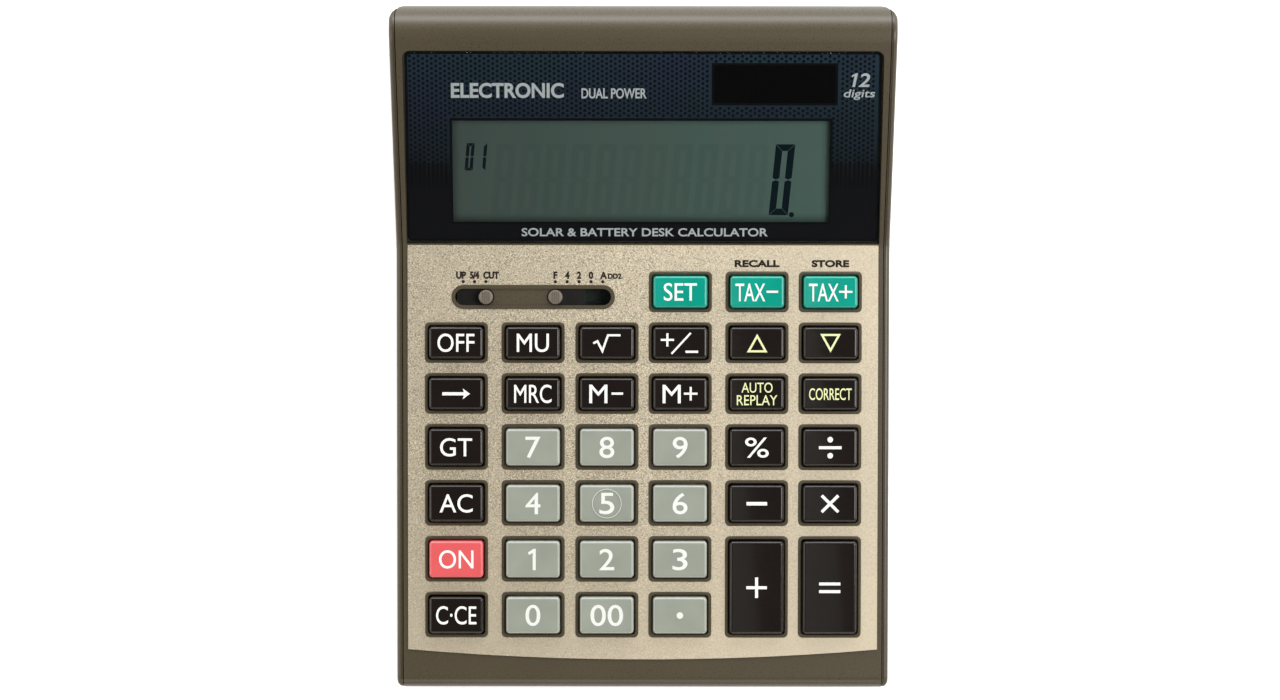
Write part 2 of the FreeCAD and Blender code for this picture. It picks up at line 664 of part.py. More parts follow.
def bay_walls():
    """The battery bay: a box that is open to the underside, with a pocket at each end for the contacts."""
    outside = box((-BAY_HALF_LENGTH - BAY_WALL, BAY_HALF_LENGTH + BAY_WALL),
                  (BAY_Y[0] - BAY_WALL, BAY_Y[1] + BAY_WALL), (BASE_Z, BAY_ROOF_Z + BAY_WALL))
    inside = box((-BAY_HALF_LENGTH, BAY_HALF_LENGTH), BAY_Y, (0, BAY_ROOF_Z))
    return outside, inside


def hinge_axis():
    """(Y, Z) of the battery door's hinge, along X."""
    return DOOR_Y[0] + DOOR_THICKNESS / 2, BASE_Z + DOOR_THICKNESS / 2


def door_opening():
    """The door's seat in the base, rounded about the hinge, with its pins' holes and a finger notch."""
    y, z = hinge_axis()
    half = DOOR_HALF_LENGTH + DOOR_GAP
    seat = box((-half, half), (y, DOOR_Y[1] + DOOR_GAP), (0, BASE_Z + DOOR_THICKNESS + DOOR_GAP))
    barrel = Part.makeCylinder(DOOR_THICKNESS / 2 + DOOR_GAP, 2 * half, Vector(-half, y, z), Vector(1, 0, 0))
    below = box((-half, half), (y - DOOR_THICKNESS / 2 - DOOR_GAP, y), (0, z))
    reach = half + DOOR_PIN_LENGTH
    pins = Part.makeCylinder(DOOR_PIN_HOLE_RADIUS, 2 * reach, Vector(-reach, y, z), Vector(1, 0, 0))
    behind, below_base = DOOR_NOTCH_PLACE
    notch = Part.makeSphere(DOOR_NOTCH_RADIUS, Vector(0, DOOR_Y[1] + behind, BASE_Z + below_base))
    return [seat, barrel, below, pins, notch]


def lower_case(outside):
    """The lower case: a tub whose side walls rise outside the upper case up to the top surface."""
    tub = outside.cut(slab(upper_outline(SEAM_GAP), -REACH, REACH).common(above_parting(SEAM_GAP)))
    step = slab(upper_outline(STEP_WIDTH), -REACH, REACH).common(above_parting())
    step = step.cut(across(side_face(STEP_DEPTH)))
    end = LENGTH / 2 - WALL
    hollow_plan = plan_face(LOWER_SIDE_WALL, -end, end, 1.0, BACK_CORNER_RADIUS - WALL)
    hollow = across(hollow_face()).common(slab(hollow_plan, -REACH, REACH))
    tub = cut(tub.cut(step), [hollow])

    bay_outside, bay_inside = bay_walls()
    beside, before, behind = DOOR_SEAT_MARGIN
    seat_walls = box((-DOOR_HALF_LENGTH - beside, DOOR_HALF_LENGTH + beside),
                     (DOOR_Y[0] - before, DOOR_Y[1] + behind),
                     (BASE_Z + ROOT, BASE_Z + DOOR_THICKNESS + DOOR_GAP + DOOR_SEAT_WALL))
    well_wall = SCREW_BOSS_RADIUS + SCREW_WELL_WALL
    bosses = [post(x, y, BASE_Z + ROOT, boss_floor(y), well_wall) for x, y in CASE_SCREWS]
    tub = fused([tub, bay_outside, seat_walls] + bosses + seam_lips() + board_rests())

    wells = [post(x, y, 0, boss_floor(y) - SCREW_SHELF, SCREW_WELL_RADIUS) for x, y in CASE_SCREWS]
    holes = [post(x, y, 0, boss_floor(y) + 1, SCREW_HOLE_RADIUS) for x, y in CASE_SCREWS]
    feet = [post(x, y, 0, BASE_Z + FOOT_RECESS, FOOT_RADIUS + FOOT_CLEARANCE) for x, y in FEET]
    tail = CONTACT_TAIL_HALF_WIDTH + TAIL_CLEARANCE
    tails = [box((x - TAIL_CLEARANCE, x + CONTACT_THICKNESS + TAIL_CLEARANCE),
                 (CELL_Y - tail, CELL_Y + tail),
                 (BAY_ROOF_Z - 1, CONTACT_TAIL_TOP)) for x in contact_places()]
    label_face = rounded_rectangle(0, LABEL_RECESS_Y, *LABEL_RECESS, LABEL_RECESS_CORNER_RADIUS)
    label = slab(label_face, 0, BASE_Z + LABEL_RECESS_DEPTH)
    return cut(tub, [bay_inside, label] + door_opening() + wells + holes + feet + tails)


def seam_lips():
    """The lips on the lower case's front and back walls that stand up behind the seam."""
    front = -LENGTH / 2 + WALL + SEAM_LIP_GAP
    back = LENGTH / 2 - WALL - SEAM_LIP_GAP - BACK_LIP_DROP
    return [box((-FRONT_LIP_HALF_LENGTH, FRONT_LIP_HALF_LENGTH), (front, front + SEAM_LIP_THICKNESS),
                (FLOOR_Z - ROOT, PARTING_FRONT_Z + SEAM_LIP_PROUD)),
            box((-BACK_LIP_HALF_LENGTH, BACK_LIP_HALF_LENGTH), (back - SEAM_LIP_THICKNESS, back),
                (FLOOR_Z - ROOT, PARTING_BACK_Z + SEAM_LIP_PROUD))]


def board_rests():
    """The pegs and ribs that hold the board up when a key is pressed."""
    pegs = [post(x, y, FLOOR_Z - ROOT, board_underside(y) - BOARD_REST_GAP, BOARD_PEG_RADIUS)
            for x, y in BOARD_PEGS]
    ribs = [box((x - BOARD_RIB_HALF_LENGTH, x + BOARD_RIB_HALF_LENGTH), (y, y + BOARD_RIB_THICKNESS),
                (FLOOR_Z - ROOT, board_underside(y) - BOARD_REST_GAP)) for x, y in BOARD_RIBS]
    return pegs + ribs


def board_underside(y):
    return slope_z(y, KEYPAD_TILT) + BOARD_BOTTOM / KEYPAD_COS


# ---- face parts ----


def face_plate():
    """The aluminium plate over the keypad, pierced for the bezels and the switch frame."""
    holes = [slab(bezel_face(x, y, depth, BEZEL_CLEARANCE), -1, 1) for _, x, y, depth, _ in all_keys()]
    holes.append(slab(switch_frame_face(BEZEL_CLEARANCE), -1, 1))
    return placed(cut(slab(plate_face(), PLATE_SEAT, PLATE_TOP), holes), KEYPAD_FRAME)


def display_lens():
    """The clear sheet over the display and the solar cell, with its upper edge eased."""
    sheet = slab(lens_face(), LENS_BOTTOM, LENS_TOP)
    rim = [e for e in sheet.Edges if e.BoundBox.ZMin > LENS_TOP - 0.01]
    return placed(sheet.makeChamfer(LENS_CHAMFER, rim), DISPLAY_FRAME)


# ---- keys and switches ----


def dish(raised=0.0):
    """The round tool that hollows a key's top from side to side."""
    width = BEZEL_WIDTH - 2 * BEZEL_WALL - 2 * KEY_GAP
    radius = width * width / 8 / KEY_DISH
    axis_z = KEY_TOP - KEY_DISH + radius + raised
    return Part.makeCylinder(radius, REACH, Vector(0, -REACH / 2, axis_z), Vector(0, 1, 0))


def key(name, x, y, depth, domes):
    """A key: a hollow dished cap, a flange that stops it under the case and a plunger for each dome."""
    width = BEZEL_WIDTH - 2 * BEZEL_WALL - 2 * KEY_GAP
    length = depth - 2 * BEZEL_WALL - 2 * KEY_GAP
    flange_bottom = FLANGE_TOP - FLANGE_THICKNESS
    foot, head = (rounded_rectangle(0, 0, width - 2 * d, length - 2 * d, KEY_CORNER_RADIUS - d).OuterWire
                  for d in (0, KEY_DRAFT))
    foot.translate(Vector(0, 0, FLANGE_TOP))
    head.translate(Vector(0, 0, KEY_TOP + 0.5))
    cap = Part.makeLoft([foot, head], True, True).cut(dish())
    crest = [e for e in cap.Edges if e.BoundBox.ZMin > KEY_TOP - KEY_DISH - 0.05]
    cap = cap.makeFillet(KEY_EDGE_RADIUS, crest)
    if name == "key_5":
        ring = post(0, 0, LOCATING_RING_FOOT, KEY_TOP + 0.5, LOCATING_RING_RADIUS)
        ring = ring.cut(post(0, 0, 0, REACH, LOCATING_RING_RADIUS - LOCATING_RING_WIDTH))
        cap = cap.fuse(ring.cut(dish(LOCATING_RING_HEIGHT)))

    ledge = 2 * (KEY_GAP + FLANGE_LEDGE)
    flange_face = rounded_rectangle(0, 0, width + ledge, length + ledge, FLANGE_CORNER_RADIUS)
    flange = slab(flange_face, flange_bottom, FLANGE_TOP + 0.01)
    inner = rounded_rectangle(0, 0, width - 2 * KEY_WALL, length - 2 * KEY_WALL, KEY_HOLLOW_CORNER_RADIUS)
    roof = KEY_TOP - KEY_ROOF
    body = fused([cap, flange]).cut(slab(inner, -REACH, roof))
    plungers = [post(0, (d - y) / KEYPAD_COS, PLUNGER_BOTTOM, roof + OVERLAP, PLUNGER_RADIUS) for d in domes]
    body = fused([body] + plungers)
    body.translate(Vector(x, keypad_v(y), 0))
    return placed(body, KEYPAD_FRAME)


def slide_knob(x):
    """A switch's knob: a ribbed round post on a flat slider, over a block that carries the wiper."""
    v, slider_bottom = keypad_v(SWITCH_Y), SLIDER_TOP - SLIDER_THICKNESS
    stem = post(x, v, SLIDER_TOP - OVERLAP, KNOB_TOP, KNOB_RADIUS)
    stem = stem.makeFillet(KNOB_EDGE_RADIUS, [e for e in stem.Edges if e.BoundBox.ZMin > KNOB_TOP - 0.01])
    half = KNOB_RIB_WIDTH / 2
    ribs = [box((x + d - half, x + d + half), (v - KNOB_RADIUS - 1, v + KNOB_RADIUS + 1),
                (KNOB_TOP - KNOB_RIB_DEPTH, KNOB_TOP + 1)) for d in KNOB_RIBS]
    slider = slab(rounded_rectangle(x, v, 2 * SLIDER_HALF_LENGTH, SLIDER_WIDTH, 0.8), slider_bottom,
                  SLIDER_TOP)
    block = slab(rounded_rectangle(x, v, *SLIDER_BLOCK, 0.5), SLIDER_BLOCK_BOTTOM, slider_bottom + OVERLAP)
    return placed(fused([cut(stem, ribs), slider, block]), KEYPAD_FRAME)


def wiper(x):
    """The sprung metal strip under a knob that bridges the tracks on the board."""
    v, top, thickness = keypad_v(SWITCH_Y), SLIDER_BLOCK_BOTTOM - WIPER_GAP, WIPER_THICKNESS
    bed = slab(rounded_rectangle(x, v, *WIPER_BED, 0.4), top - thickness, top)
    root, tip, low = x + WIPER_LEG_REACH[0], x + WIPER_LEG_REACH[1], BOARD_TOP + WIPER_LIFT
    profile = rounded_polygon([
        (root, top - thickness, 0), (root + 1, top - thickness, 0), (x, low + thickness, WIPER_BEND_RADIUS),
        (tip, low + 0.7, 0), (tip, low + 0.7 - thickness, 0), (x, low, WIPER_BEND_RADIUS),
        (root, top - 2 * thickness, 0)], to_front)
    legs = []
    for d in WIPER_LEGS:
        leg = profile.extrude(Vector(0, WIPER_LEG_WIDTH, 0))
        leg.translate(Vector(0, v + d - WIPER_LEG_WIDTH / 2, 0))
        legs.append(leg)
    return placed(fused([bed] + legs), KEYPAD_FRAME)


# ---- electronics ----


def dome_sheet():
    """The rubber sheet under the keys, with a hollow dome and a carbon pill for each contact."""
    right = DOME_SHEET_HALF_WIDTH
    front, back = (keypad_v(y) for y in DOME_SHEET_Y)
    notch_x, notch_v = DOME_SHEET_NOTCH[0], keypad_v(DOME_SHEET_NOTCH[1])
    face = rounded_polygon([(-right, front, 1), (right, front, 1), (right, back, 1), (notch_x, back, 1),
                            (notch_x, notch_v, 1), (-right, notch_v, 1)])
    sheet = slab(face, BOARD_TOP + DOME_SHEET_GAP, DOME_SHEET_TOP)
    centres = [Vector(x, keypad_v(y), 0) for _, x, _, _, ys in all_keys() for y in ys]
    up = Vector(0, 0, 1)
    domes = [Part.makeCone(DOME_BASE_RADIUS, DOME_TOP_RADIUS, DOME_TOP - DOME_SHEET_TOP + OVERLAP,
                           c + up * (DOME_SHEET_TOP - OVERLAP), up) for c in centres]
    hollows = [Part.makeCone(DOME_INNER_BASE_RADIUS, DOME_INNER_TOP_RADIUS, DOME_ROOF - BOARD_TOP + OVERLAP,
                             c + up * (BOARD_TOP - OVERLAP), up) for c in centres]
    pills = [post(c.x, c.y, PILL_BOTTOM, DOME_ROOF + OVERLAP, PILL_RADIUS) for c in centres]
    bosses = [post(x, keypad_v(y), -REACH, 0, BOARD_BOSS_RADIUS + 0.3) for x, y in BOARD_SCREWS]
    body = cut(cut(sheet.fuse(domes), hollows).fuse(pills), bosses)
    return placed(body, KEYPAD_FRAME)


def circuit_board():
    front, back, notch = keypad_v(BOARD_Y[0]), keypad_v(BOARD_Y[1]), keypad_v(BOARD_NOTCH_Y)
    half, inner = BOARD_HALF_WIDTH, BOARD_NOTCH_X
    face = rounded_polygon([(-half, front, 1), (half, front, 1), (half, notch, 1), (inner, notch, 1),
                            (inner, back, 1), (-inner, back, 1), (-inner, notch, 1), (-half, notch, 1)])
    holes = [post(x, keypad_v(y), -REACH, 0, BOARD_HOLE_RADIUS) for x, y in BOARD_SCREWS]
    return placed(cut(slab(face, BOARD_BOTTOM, BOARD_TOP), holes), KEYPAD_FRAME)


def controller_chip():
    """The bare chip on the board's underside, under its drop of black resin."""
    radius = RESIN_SPHERE_RADIUS
    sphere = Part.makeSphere(radius, Vector(0, keypad_v(CHIP_Y), BOARD_BOTTOM - RESIN_HEIGHT + radius))
    return placed(sphere.cut(box((-REACH, REACH), (-REACH, REACH), (BOARD_BOTTOM, REACH))), KEYPAD_FRAME)


def lcd_glass():
    """The display: two sheets of glass, the front one set back from the rear one's connector ledge."""
    front = span_rectangle(LCD_X, (LCD_V[0] + LCD_LEDGE, LCD_V[1]), LCD_CORNER_RADIUS)
    rear = span_rectangle(LCD_X, LCD_V, LCD_CORNER_RADIUS)
    middle = LCD_TOP - LCD_THICKNESS / 2
    sheets = [slab(front, middle, LCD_TOP), slab(rear, LCD_TOP - LCD_THICKNESS, middle)]
    return placed(fused(sheets), DISPLAY_FRAME)


def lcd_frame():
    """The moulded frame that holds the display up to the case, notched in front for the display's film."""
    bottom, floor = LCD_TOP - LCD_THICKNESS, LCD_TOP - LCD_THICKNESS - LCD_FRAME_FLOOR
    (left, right), (front, back) = LCD_X, LCD_V
    ring = slab(span_rectangle(LCD_X, (front + 0.1, back - 0.1), 1.0, LCD_FRAME_RIM), floor, LCD_TOP)
    pocket = slab(span_rectangle(LCD_X, LCD_V, LCD_CORNER_RADIUS, LCD_FRAME_CLEARANCE), bottom, 0)
    shelf = LCD_FRAME_SHELF
    through = span_rectangle((left + shelf, right - shelf), (front + LCD_LEDGE + shelf, back - shelf), 1.0)
    notch = span_rectangle((-FLEX_HALF_WIDTH - 6, FLEX_HALF_WIDTH + 6), (front - 5, front + 2), 0)
    return placed(cut(ring, [pocket, slab(through, floor - 1, 0), slab(notch, floor - 1, 0)]), DISPLAY_FRAME)


def lcd_flex():
    """The printed film that joins the display's ledge to the board."""
    level = LCD_TOP - LCD_THICKNESS / 2 + FLEX_GAP
    ledge = DISPLAY_FRAME.multVec(Vector(0, LCD_V[0] + LCD_LEDGE - 0.3, level))
    lip = DISPLAY_FRAME.multVec(Vector(0, LCD_V[0] - 0.6, level))
    end = KEYPAD_FRAME.multVec(Vector(0, keypad_v(BOARD_Y[1] - 3.0), BOARD_TOP + FLEX_GAP))
    edge = KEYPAD_FRAME.multVec(Vector(0, keypad_v(BOARD_Y[1] + 1.4), BOARD_TOP + FLEX_GAP))
    t, bend = FLEX_THICKNESS, FLEX_BEND_RADIUS
    face = rounded_polygon([
        (ledge.y, ledge.z, 0), (lip.y, lip.z, bend), (edge.y, edge.z, bend), (end.y, end.z, 0),
        (end.y, end.z + t, 0), (edge.y - t, edge.z + t, bend - t), (lip.y - t, lip.z + t, bend + t),
        (ledge.y, ledge.z + t, 0)], to_side)
    return across(face, FLEX_HALF_WIDTH)


def solar_cell():
    face = span_rectangle(SOLAR_CELL_X, SOLAR_CELL_V, LCD_CORNER_RADIUS)
    return placed(slab(face, LCD_TOP - SOLAR_CELL_THICKNESS, LCD_TOP), DISPLAY_FRAME)


# ---- battery ----


def battery_cell():
    half = CELL_LENGTH / 2
    along = Vector(1, 0, 0)
    can = Part.makeCylinder(CELL_RADIUS, CELL_LENGTH, Vector(-half, CELL_Y, CELL_Z), along)
    can = can.makeFillet(CELL_EDGE_RADIUS, [e for e in can.Edges if e.BoundBox.XLength < 0.01])
    start = Vector(half - OVERLAP, CELL_Y, CELL_Z)
    return can.fuse(Part.makeCylinder(CELL_NUB_RADIUS, CELL_NUB + OVERLAP, start, along))


def contact_places():
    """The left-hand side of the spring's plate and of the flat contact, in the bay's two ends."""
    return -BAY_HALF_LENGTH + CONTACT_CLEARANCE, CELL_LENGTH / 2 + CELL_NUB + CONTACT_CLEARANCE


def contact_plate(x):
    """A contact's flat plate, with a tail that comes up through the bay's roof for its wire."""
    span = (x, x + CONTACT_THICKNESS)
    plate = box(span, (CELL_Y - CONTACT_HALF_WIDTH, CELL_Y + CONTACT_HALF_WIDTH),
                (CELL_Z - CONTACT_HALF_HEIGHT, CELL_Z + CONTACT_HALF_HEIGHT))
    tail = box(span, (CELL_Y - CONTACT_TAIL_HALF_WIDTH, CELL_Y + CONTACT_TAIL_HALF_WIDTH),
               (CELL_Z, CONTACT_TAIL_TOP))
    return fused([plate, tail])


def spring_contact():
    """The contact at the cell's negative end: a plate whose foot turns up into a bent leaf spring."""
    left, thickness = contact_places()[0], CONTACT_THICKNESS
    face, nose = left + thickness, -CELL_LENGTH / 2 - CONTACT_CLEARANCE
    foot, tip_x, tip_z = CELL_Z - CONTACT_HALF_HEIGHT, face + LEAF_TIP[0], CELL_Z + LEAF_TIP[1]
    leaf = rounded_polygon([
        (face - OVERLAP, foot, 0), (face + LEAF_FOOT, foot, 0), (nose, CELL_Z, LEAF_NOSE_RADIUS),
        (tip_x, tip_z, 0), (tip_x - thickness, tip_z, 0),
        (nose - thickness, CELL_Z, LEAF_NOSE_RADIUS - thickness), (face, foot + 2 * thickness, 0),
        (face - OVERLAP, foot + 2 * thickness, 0)], to_front)
    leaf = leaf.extrude(Vector(0, 2 * LEAF_HALF_WIDTH, 0))
    leaf.translate(Vector(0, CELL_Y - LEAF_HALF_WIDTH, 0))
    return fused([contact_plate(left), leaf])


def battery_door():
    """The battery door: a plate with a rounded hinge edge, a pin at each end and a grip outside."""
    y, z = hinge_axis()
    half, along = DOOR_HALF_LENGTH, Vector(1, 0, 0)
    plate = box((-half, half), (y, DOOR_Y[1]), (BASE_Z, BASE_Z + DOOR_THICKNESS))
    barrel = Part.makeCylinder(DOOR_THICKNESS / 2, 2 * half, Vector(-half, y, z), along)
    reach = half + DOOR_PIN_LENGTH - DOOR_PIN_END_GAP
    pins = Part.makeCylinder(DOOR_PIN_RADIUS, 2 * reach, Vector(-reach, y, z), along)
    starts = [DOOR_Y[1] - GRIP_START + GRIP_PITCH * i for i in range(GRIP_GROOVES)]
    grooves = [box((-GRIP_HALF_LENGTH, GRIP_HALF_LENGTH), (s, s + GRIP_WIDTH), (0, BASE_Z + GRIP_DEPTH))
               for s in starts]
    return cut(fused([plate, barrel, pins]), grooves)


def power_wires():
    """Four insulated wires to the board: two from the battery contacts and two from the solar cell."""
    drop_z, meet_y = WIRE_LAY
    board_y = BOARD_Y[1] - 2.0
    board_z = slope_z(board_y, KEYPAD_TILT) + BOARD_TOP / KEYPAD_COS + WIRE_RADIUS + WIRE_GAP
    meet_z = board_z + WIRE_RADIUS + OVERLAP
    wires = []
    for x, side in zip(contact_places(), (-1, 1)):
        start = x + CONTACT_THICKNESS / 2 + side * (CONTACT_THICKNESS / 2 + 0.02)
        top, beside = CONTACT_TAIL_TOP - 0.6, side * (BAY_HALF_LENGTH + BAY_WALL + 2.4)
        outer = beside + side * 3.0
        path = [Vector(start, CELL_Y, top), Vector(beside, CELL_Y, top), Vector(beside, CELL_Y - 3, drop_z),
                Vector(outer, meet_y, meet_z), Vector(outer, board_y, board_z)]
        wires.append(tube(path, WIRE_BEND_RADIUS, WIRE_RADIUS))
    cell = DISPLAY_FRAME.multVec(Vector(0, SOLAR_CELL_V[0] + 6, LCD_TOP - SOLAR_CELL_THICKNESS))
    low = cell.z - 0.2
    for x in SOLAR_WIRE_X:
        path = [Vector(x, cell.y, low), Vector(x, cell.y, low - SOLAR_WIRE_DROP), Vector(x, 58.0, drop_z),
                Vector(x, meet_y, meet_z), Vector(x, board_y, board_z)]
        wires.append(tube(path, SOLAR_WIRE_BEND_RADIUS, WIRE_RADIUS))
    return wires


# ---- fasteners and feet ----


def case_screw(x, y):
    """A pan-head self-tapping screw, with a cross recess, that comes up through the lower case's boss."""
    seat = boss_floor(y) - SCREW_SHELF
    bottom = seat - SCREW_HEAD
    head = post(x, y, bottom, seat, SCREW_HEAD_RADIUS)
    head = head.makeFillet(SCREW_HEAD_EDGE_RADIUS, [e for e in head.Edges if e.BoundBox.ZMax < bottom + 0.1])
    shank = post(x, y, seat - OVERLAP, screw_tip(y), SCREW_SHANK_RADIUS)
    long, short = SCREW_CROSS
    cross = [box((x - a, x + a), (y - b, y + b), (bottom - 1, bottom + SCREW_CROSS_DEPTH))
             for a, b in ((long, short), (short, long))]
    return cut(fused([head, shank]), cross)


def board_screw(x, y):
    v, bottom = keypad_v(y), BOARD_BOTTOM - BOARD_SCREW_HEAD
    head = post(x, v, bottom, BOARD_BOTTOM, BOARD_SCREW_HEAD_RADIUS)
    shank = post(x, v, BOARD_BOTTOM - OVERLAP, BOARD_TOP + BOARD_SCREW_BITE, BOARD_SCREW_RADIUS)
    long, short = BOARD_SCREW_SLOT
    slot = box((x - long, x + long), (v - short, v + short), (bottom - 1, bottom + BOARD_SCREW_SLOT_DEPTH))
    return placed(cut(fused([head, shank]), [slot]), KEYPAD_FRAME)


def rubber_foot(x, y):
    foot = post(x, y, 0, BASE_Z + FOOT_RECESS, FOOT_RADIUS)
    return foot.makeFillet(FOOT_EDGE_RADIUS, [e for e in foot.Edges if e.BoundBox.ZMax < 0.01])


def write(name, shape):
    """Writes one node, after checking that each of its solids is sound."""
    solids = shape.Solids
    if not solids or not all(s.isValid() and s.Volume > 0 for s in solids):
        raise SystemExit(f"{name} has no sound solid")
    whole = solids[0] if len(solids) == 1 else Part.makeCompound(solids)
    whole.exportStep(os.path.join("parts", name + ".step"))
    print(name, len(solids), "solid(s)", round(whole.Volume, 1), "mm3")


def main():
    os.makedirs("parts", exist_ok=True)
    outside = envelope()
    write("top_case", upper_case(outside))
    write("bottom_case", lower_case(outside))
    write("face_plate", face_plate())
    write("display_lens", display_lens())
    for name, x, y, depth, domes in all_keys():
        write(name, key(name, x, y, depth, domes))
    for name, x in (("rounding", ROUNDING_KNOB_X), ("decimal", DECIMAL_KNOB_X)):
        write(name + "_switch_knob", slide_knob(x))
        write(name + "_switch_wiper", wiper(x))
    write("rubber_dome_sheet", dome_sheet())
    write("circuit_board", circuit_board())
    write("controller_chip", controller_chip())
    write("lcd_glass", lcd_glass())
    write("lcd_frame", lcd_frame())
    write("lcd_flex", lcd_flex())
    write("solar_cell", solar_cell())
    write("battery_cell", battery_cell())
    write("battery_plate_contact", contact_plate(contact_places()[1]))
    write("battery_spring_contact", spring_contact())
    write("battery_door", battery_door())
    write("power_wires", Part.makeCompound(power_wires()))
    write("case_screws", Part.makeCompound([case_screw(x, y) for x, y in CASE_SCREWS]))
    write("board_screws", Part.makeCompound([board_screw(x, y) for x, y in BOARD_SCREWS]))
    write("rubber_feet", Part.makeCompound([rubber_foot(x, y) for x, y in FEET]))


main()
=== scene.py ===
import json
import math

import bmesh
import bpy
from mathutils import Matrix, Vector
from mathutils.bvhtree import BVHTree


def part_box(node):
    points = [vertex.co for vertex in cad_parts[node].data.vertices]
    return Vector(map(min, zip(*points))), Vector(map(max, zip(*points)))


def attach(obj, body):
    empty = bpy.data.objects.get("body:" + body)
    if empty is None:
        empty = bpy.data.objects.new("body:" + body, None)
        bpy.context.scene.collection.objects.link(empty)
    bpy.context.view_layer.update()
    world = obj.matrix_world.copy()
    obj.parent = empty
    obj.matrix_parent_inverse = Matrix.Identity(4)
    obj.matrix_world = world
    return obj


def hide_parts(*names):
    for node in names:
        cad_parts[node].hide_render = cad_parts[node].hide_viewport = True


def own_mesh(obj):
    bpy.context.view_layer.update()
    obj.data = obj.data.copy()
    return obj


# A twelve-digit desk calculator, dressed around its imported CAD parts: the finishes of the case, plate, lens
# and keys, the keys' legends, the print on the plate and behind the lens, what the display shows, and the
# rubber domes under the keys.

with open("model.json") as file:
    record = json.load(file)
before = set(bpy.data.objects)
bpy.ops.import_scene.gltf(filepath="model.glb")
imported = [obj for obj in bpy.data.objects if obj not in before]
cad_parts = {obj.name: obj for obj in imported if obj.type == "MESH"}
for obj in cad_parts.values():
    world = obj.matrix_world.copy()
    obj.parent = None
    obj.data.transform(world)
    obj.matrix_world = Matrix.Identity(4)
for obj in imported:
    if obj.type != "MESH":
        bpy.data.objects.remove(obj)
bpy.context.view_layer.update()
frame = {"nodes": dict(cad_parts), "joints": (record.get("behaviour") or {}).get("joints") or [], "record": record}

NODES = frame["nodes"]
JOINTS = {j["name"]: j for j in frame["joints"]}
BODY_OF = {n: body for body, group in frame["record"]["behaviour"]["bodies"].items() for n in group}
SLOT_OF = {s["node"]: s["material_slot"] for s in frame["record"]["subparts"]}
KEYS = sorted(n for n in NODES if n.startswith("key_"))
MM = 0.001


def add_object(name, data):
    """Puts a new object with that mesh, curve, camera or light into the scene."""
    made = bpy.data.objects.new(name, data)
    bpy.context.scene.collection.objects.link(made)
    return made


def mesh_from(bm, name):
    """Turns a bmesh into a mesh and frees it."""
    mesh = bpy.data.meshes.new(name)
    bm.to_mesh(mesh)
    bm.free()
    return mesh


# ---- the two sloping faces ----


class Slope:
    """A sloping face of the case. A point is (x, v, w) in mm: x across, v up the slope, w out of it."""

    ABOVE_ALL = 60.0  # a level w that is clear of everything on either slope

    def __init__(self, out):
        self.out = out.normalized()
        self.up = self.out.cross(Vector((1, 0, 0)))

    def point(self, x, v, w):
        return (Vector((x, 0, 0)) + self.up * v + self.out * w) * MM

    def box(self, node):
        """Lowest and highest (x, v, w) of a CAD node."""
        spots = [vertex.co / MM for vertex in NODES[node].data.vertices]
        found = [(p.x, p.dot(self.up), p.dot(self.out)) for p in spots]
        return [min(f) for f in zip(*found)], [max(f) for f in zip(*found)]

    def middle(self, node):
        low, high = self.box(node)
        return (low[0] + high[0]) / 2, (low[1] + high[1]) / 2


def widest_face(node):
    """The normal of the node's largest face that looks up."""
    faces = [p for p in NODES[node].data.polygons if p.normal.z > 0.5]
    return max(faces, key=lambda p: p.area).normal.copy()


KEYPAD = Slope(-Vector(JOINTS["key_0_press"]["axis"]))
DISPLAY = Slope(widest_face("display_lens"))


# ---- outlines ----


def ring(x, y, radius, points=24):
    """A circle's points."""
    turns = [2 * math.pi * i / points for i in range(points)]
    return [(x + radius * math.cos(turn), y + radius * math.sin(turn)) for turn in turns]


def rectangle(x, y, width, height, radius=0.0):
    """A rectangle about a centre, its corners rounded."""
    if not radius:
        signs = ((-1, -1), (1, -1), (1, 1), (-1, 1))
        return [(x + sx * width / 2, y + sy * height / 2) for sx, sy in signs]
    corners = []
    for turn, (sx, sy) in enumerate(((1, 1), (-1, 1), (-1, -1), (1, -1))):
        for i in range(7):
            angle = (turn + i / 6) * math.pi / 2
            corners.append((x + sx * (width / 2 - radius) + radius * math.cos(angle),
                            y + sy * (height / 2 - radius) + radius * math.sin(angle)))
    return corners


def stroke(points, width):
    """The outline of a line of that width through the points, its corners mitred."""
    left, right = [], []
    for i, here in enumerate(points):
        here = Vector(here)
        before = (here - Vector(points[i - 1])).normalized() if i else None
        after = (Vector(points[i + 1]) - here).normalized() if i < len(points) - 1 else None
        before, after = before or after, after or before
        along = (before + after).normalized()
        side = Vector((-along.y, along.x)) * (width / 2 / max(0.35, along.dot(after)))
        left.append(tuple(here + side))
        right.append(tuple(here - side))
    return left + right[::-1]


def figure_one(x, y, height, line, lean=0.0):
    """The outline of a figure one with a flag and no foot."""
    left, right, half = x - line * 0.35, x + line * 0.65, height / 2
    points = [(left, y - half), (right, y - half), (right, y + half), (left + line * 0.3, y + half),
              (left - height * 0.22, y + half * 0.66), (left - height * 0.17, y + half * 0.42),
              (left, y + half * 0.62)]
    return [(px + (py - y) * lean, py) for px, py in points]


# ---- printed marks ----


def push_out(mesh, weight):
    """Moves the walls round a flat shape outwards, to make its lines heavier."""
    walls = {}
    for face in mesh.polygons:
        if abs(face.normal.z) < 0.5:
            for spot in {tuple(round(c, 5) for c in mesh.vertices[i].co.xy) for i in face.vertices}:
                walls.setdefault(spot, []).append(face.normal.xy.normalized())
    for vertex in mesh.vertices:
        sides = walls.get(tuple(round(c, 5) for c in vertex.co.xy), ())
        if len(sides) == 2:
            out = (sides[0] + sides[1]) * weight / max(0.4, 1 + sides[0].dot(sides[1]))
            vertex.co.xy += out


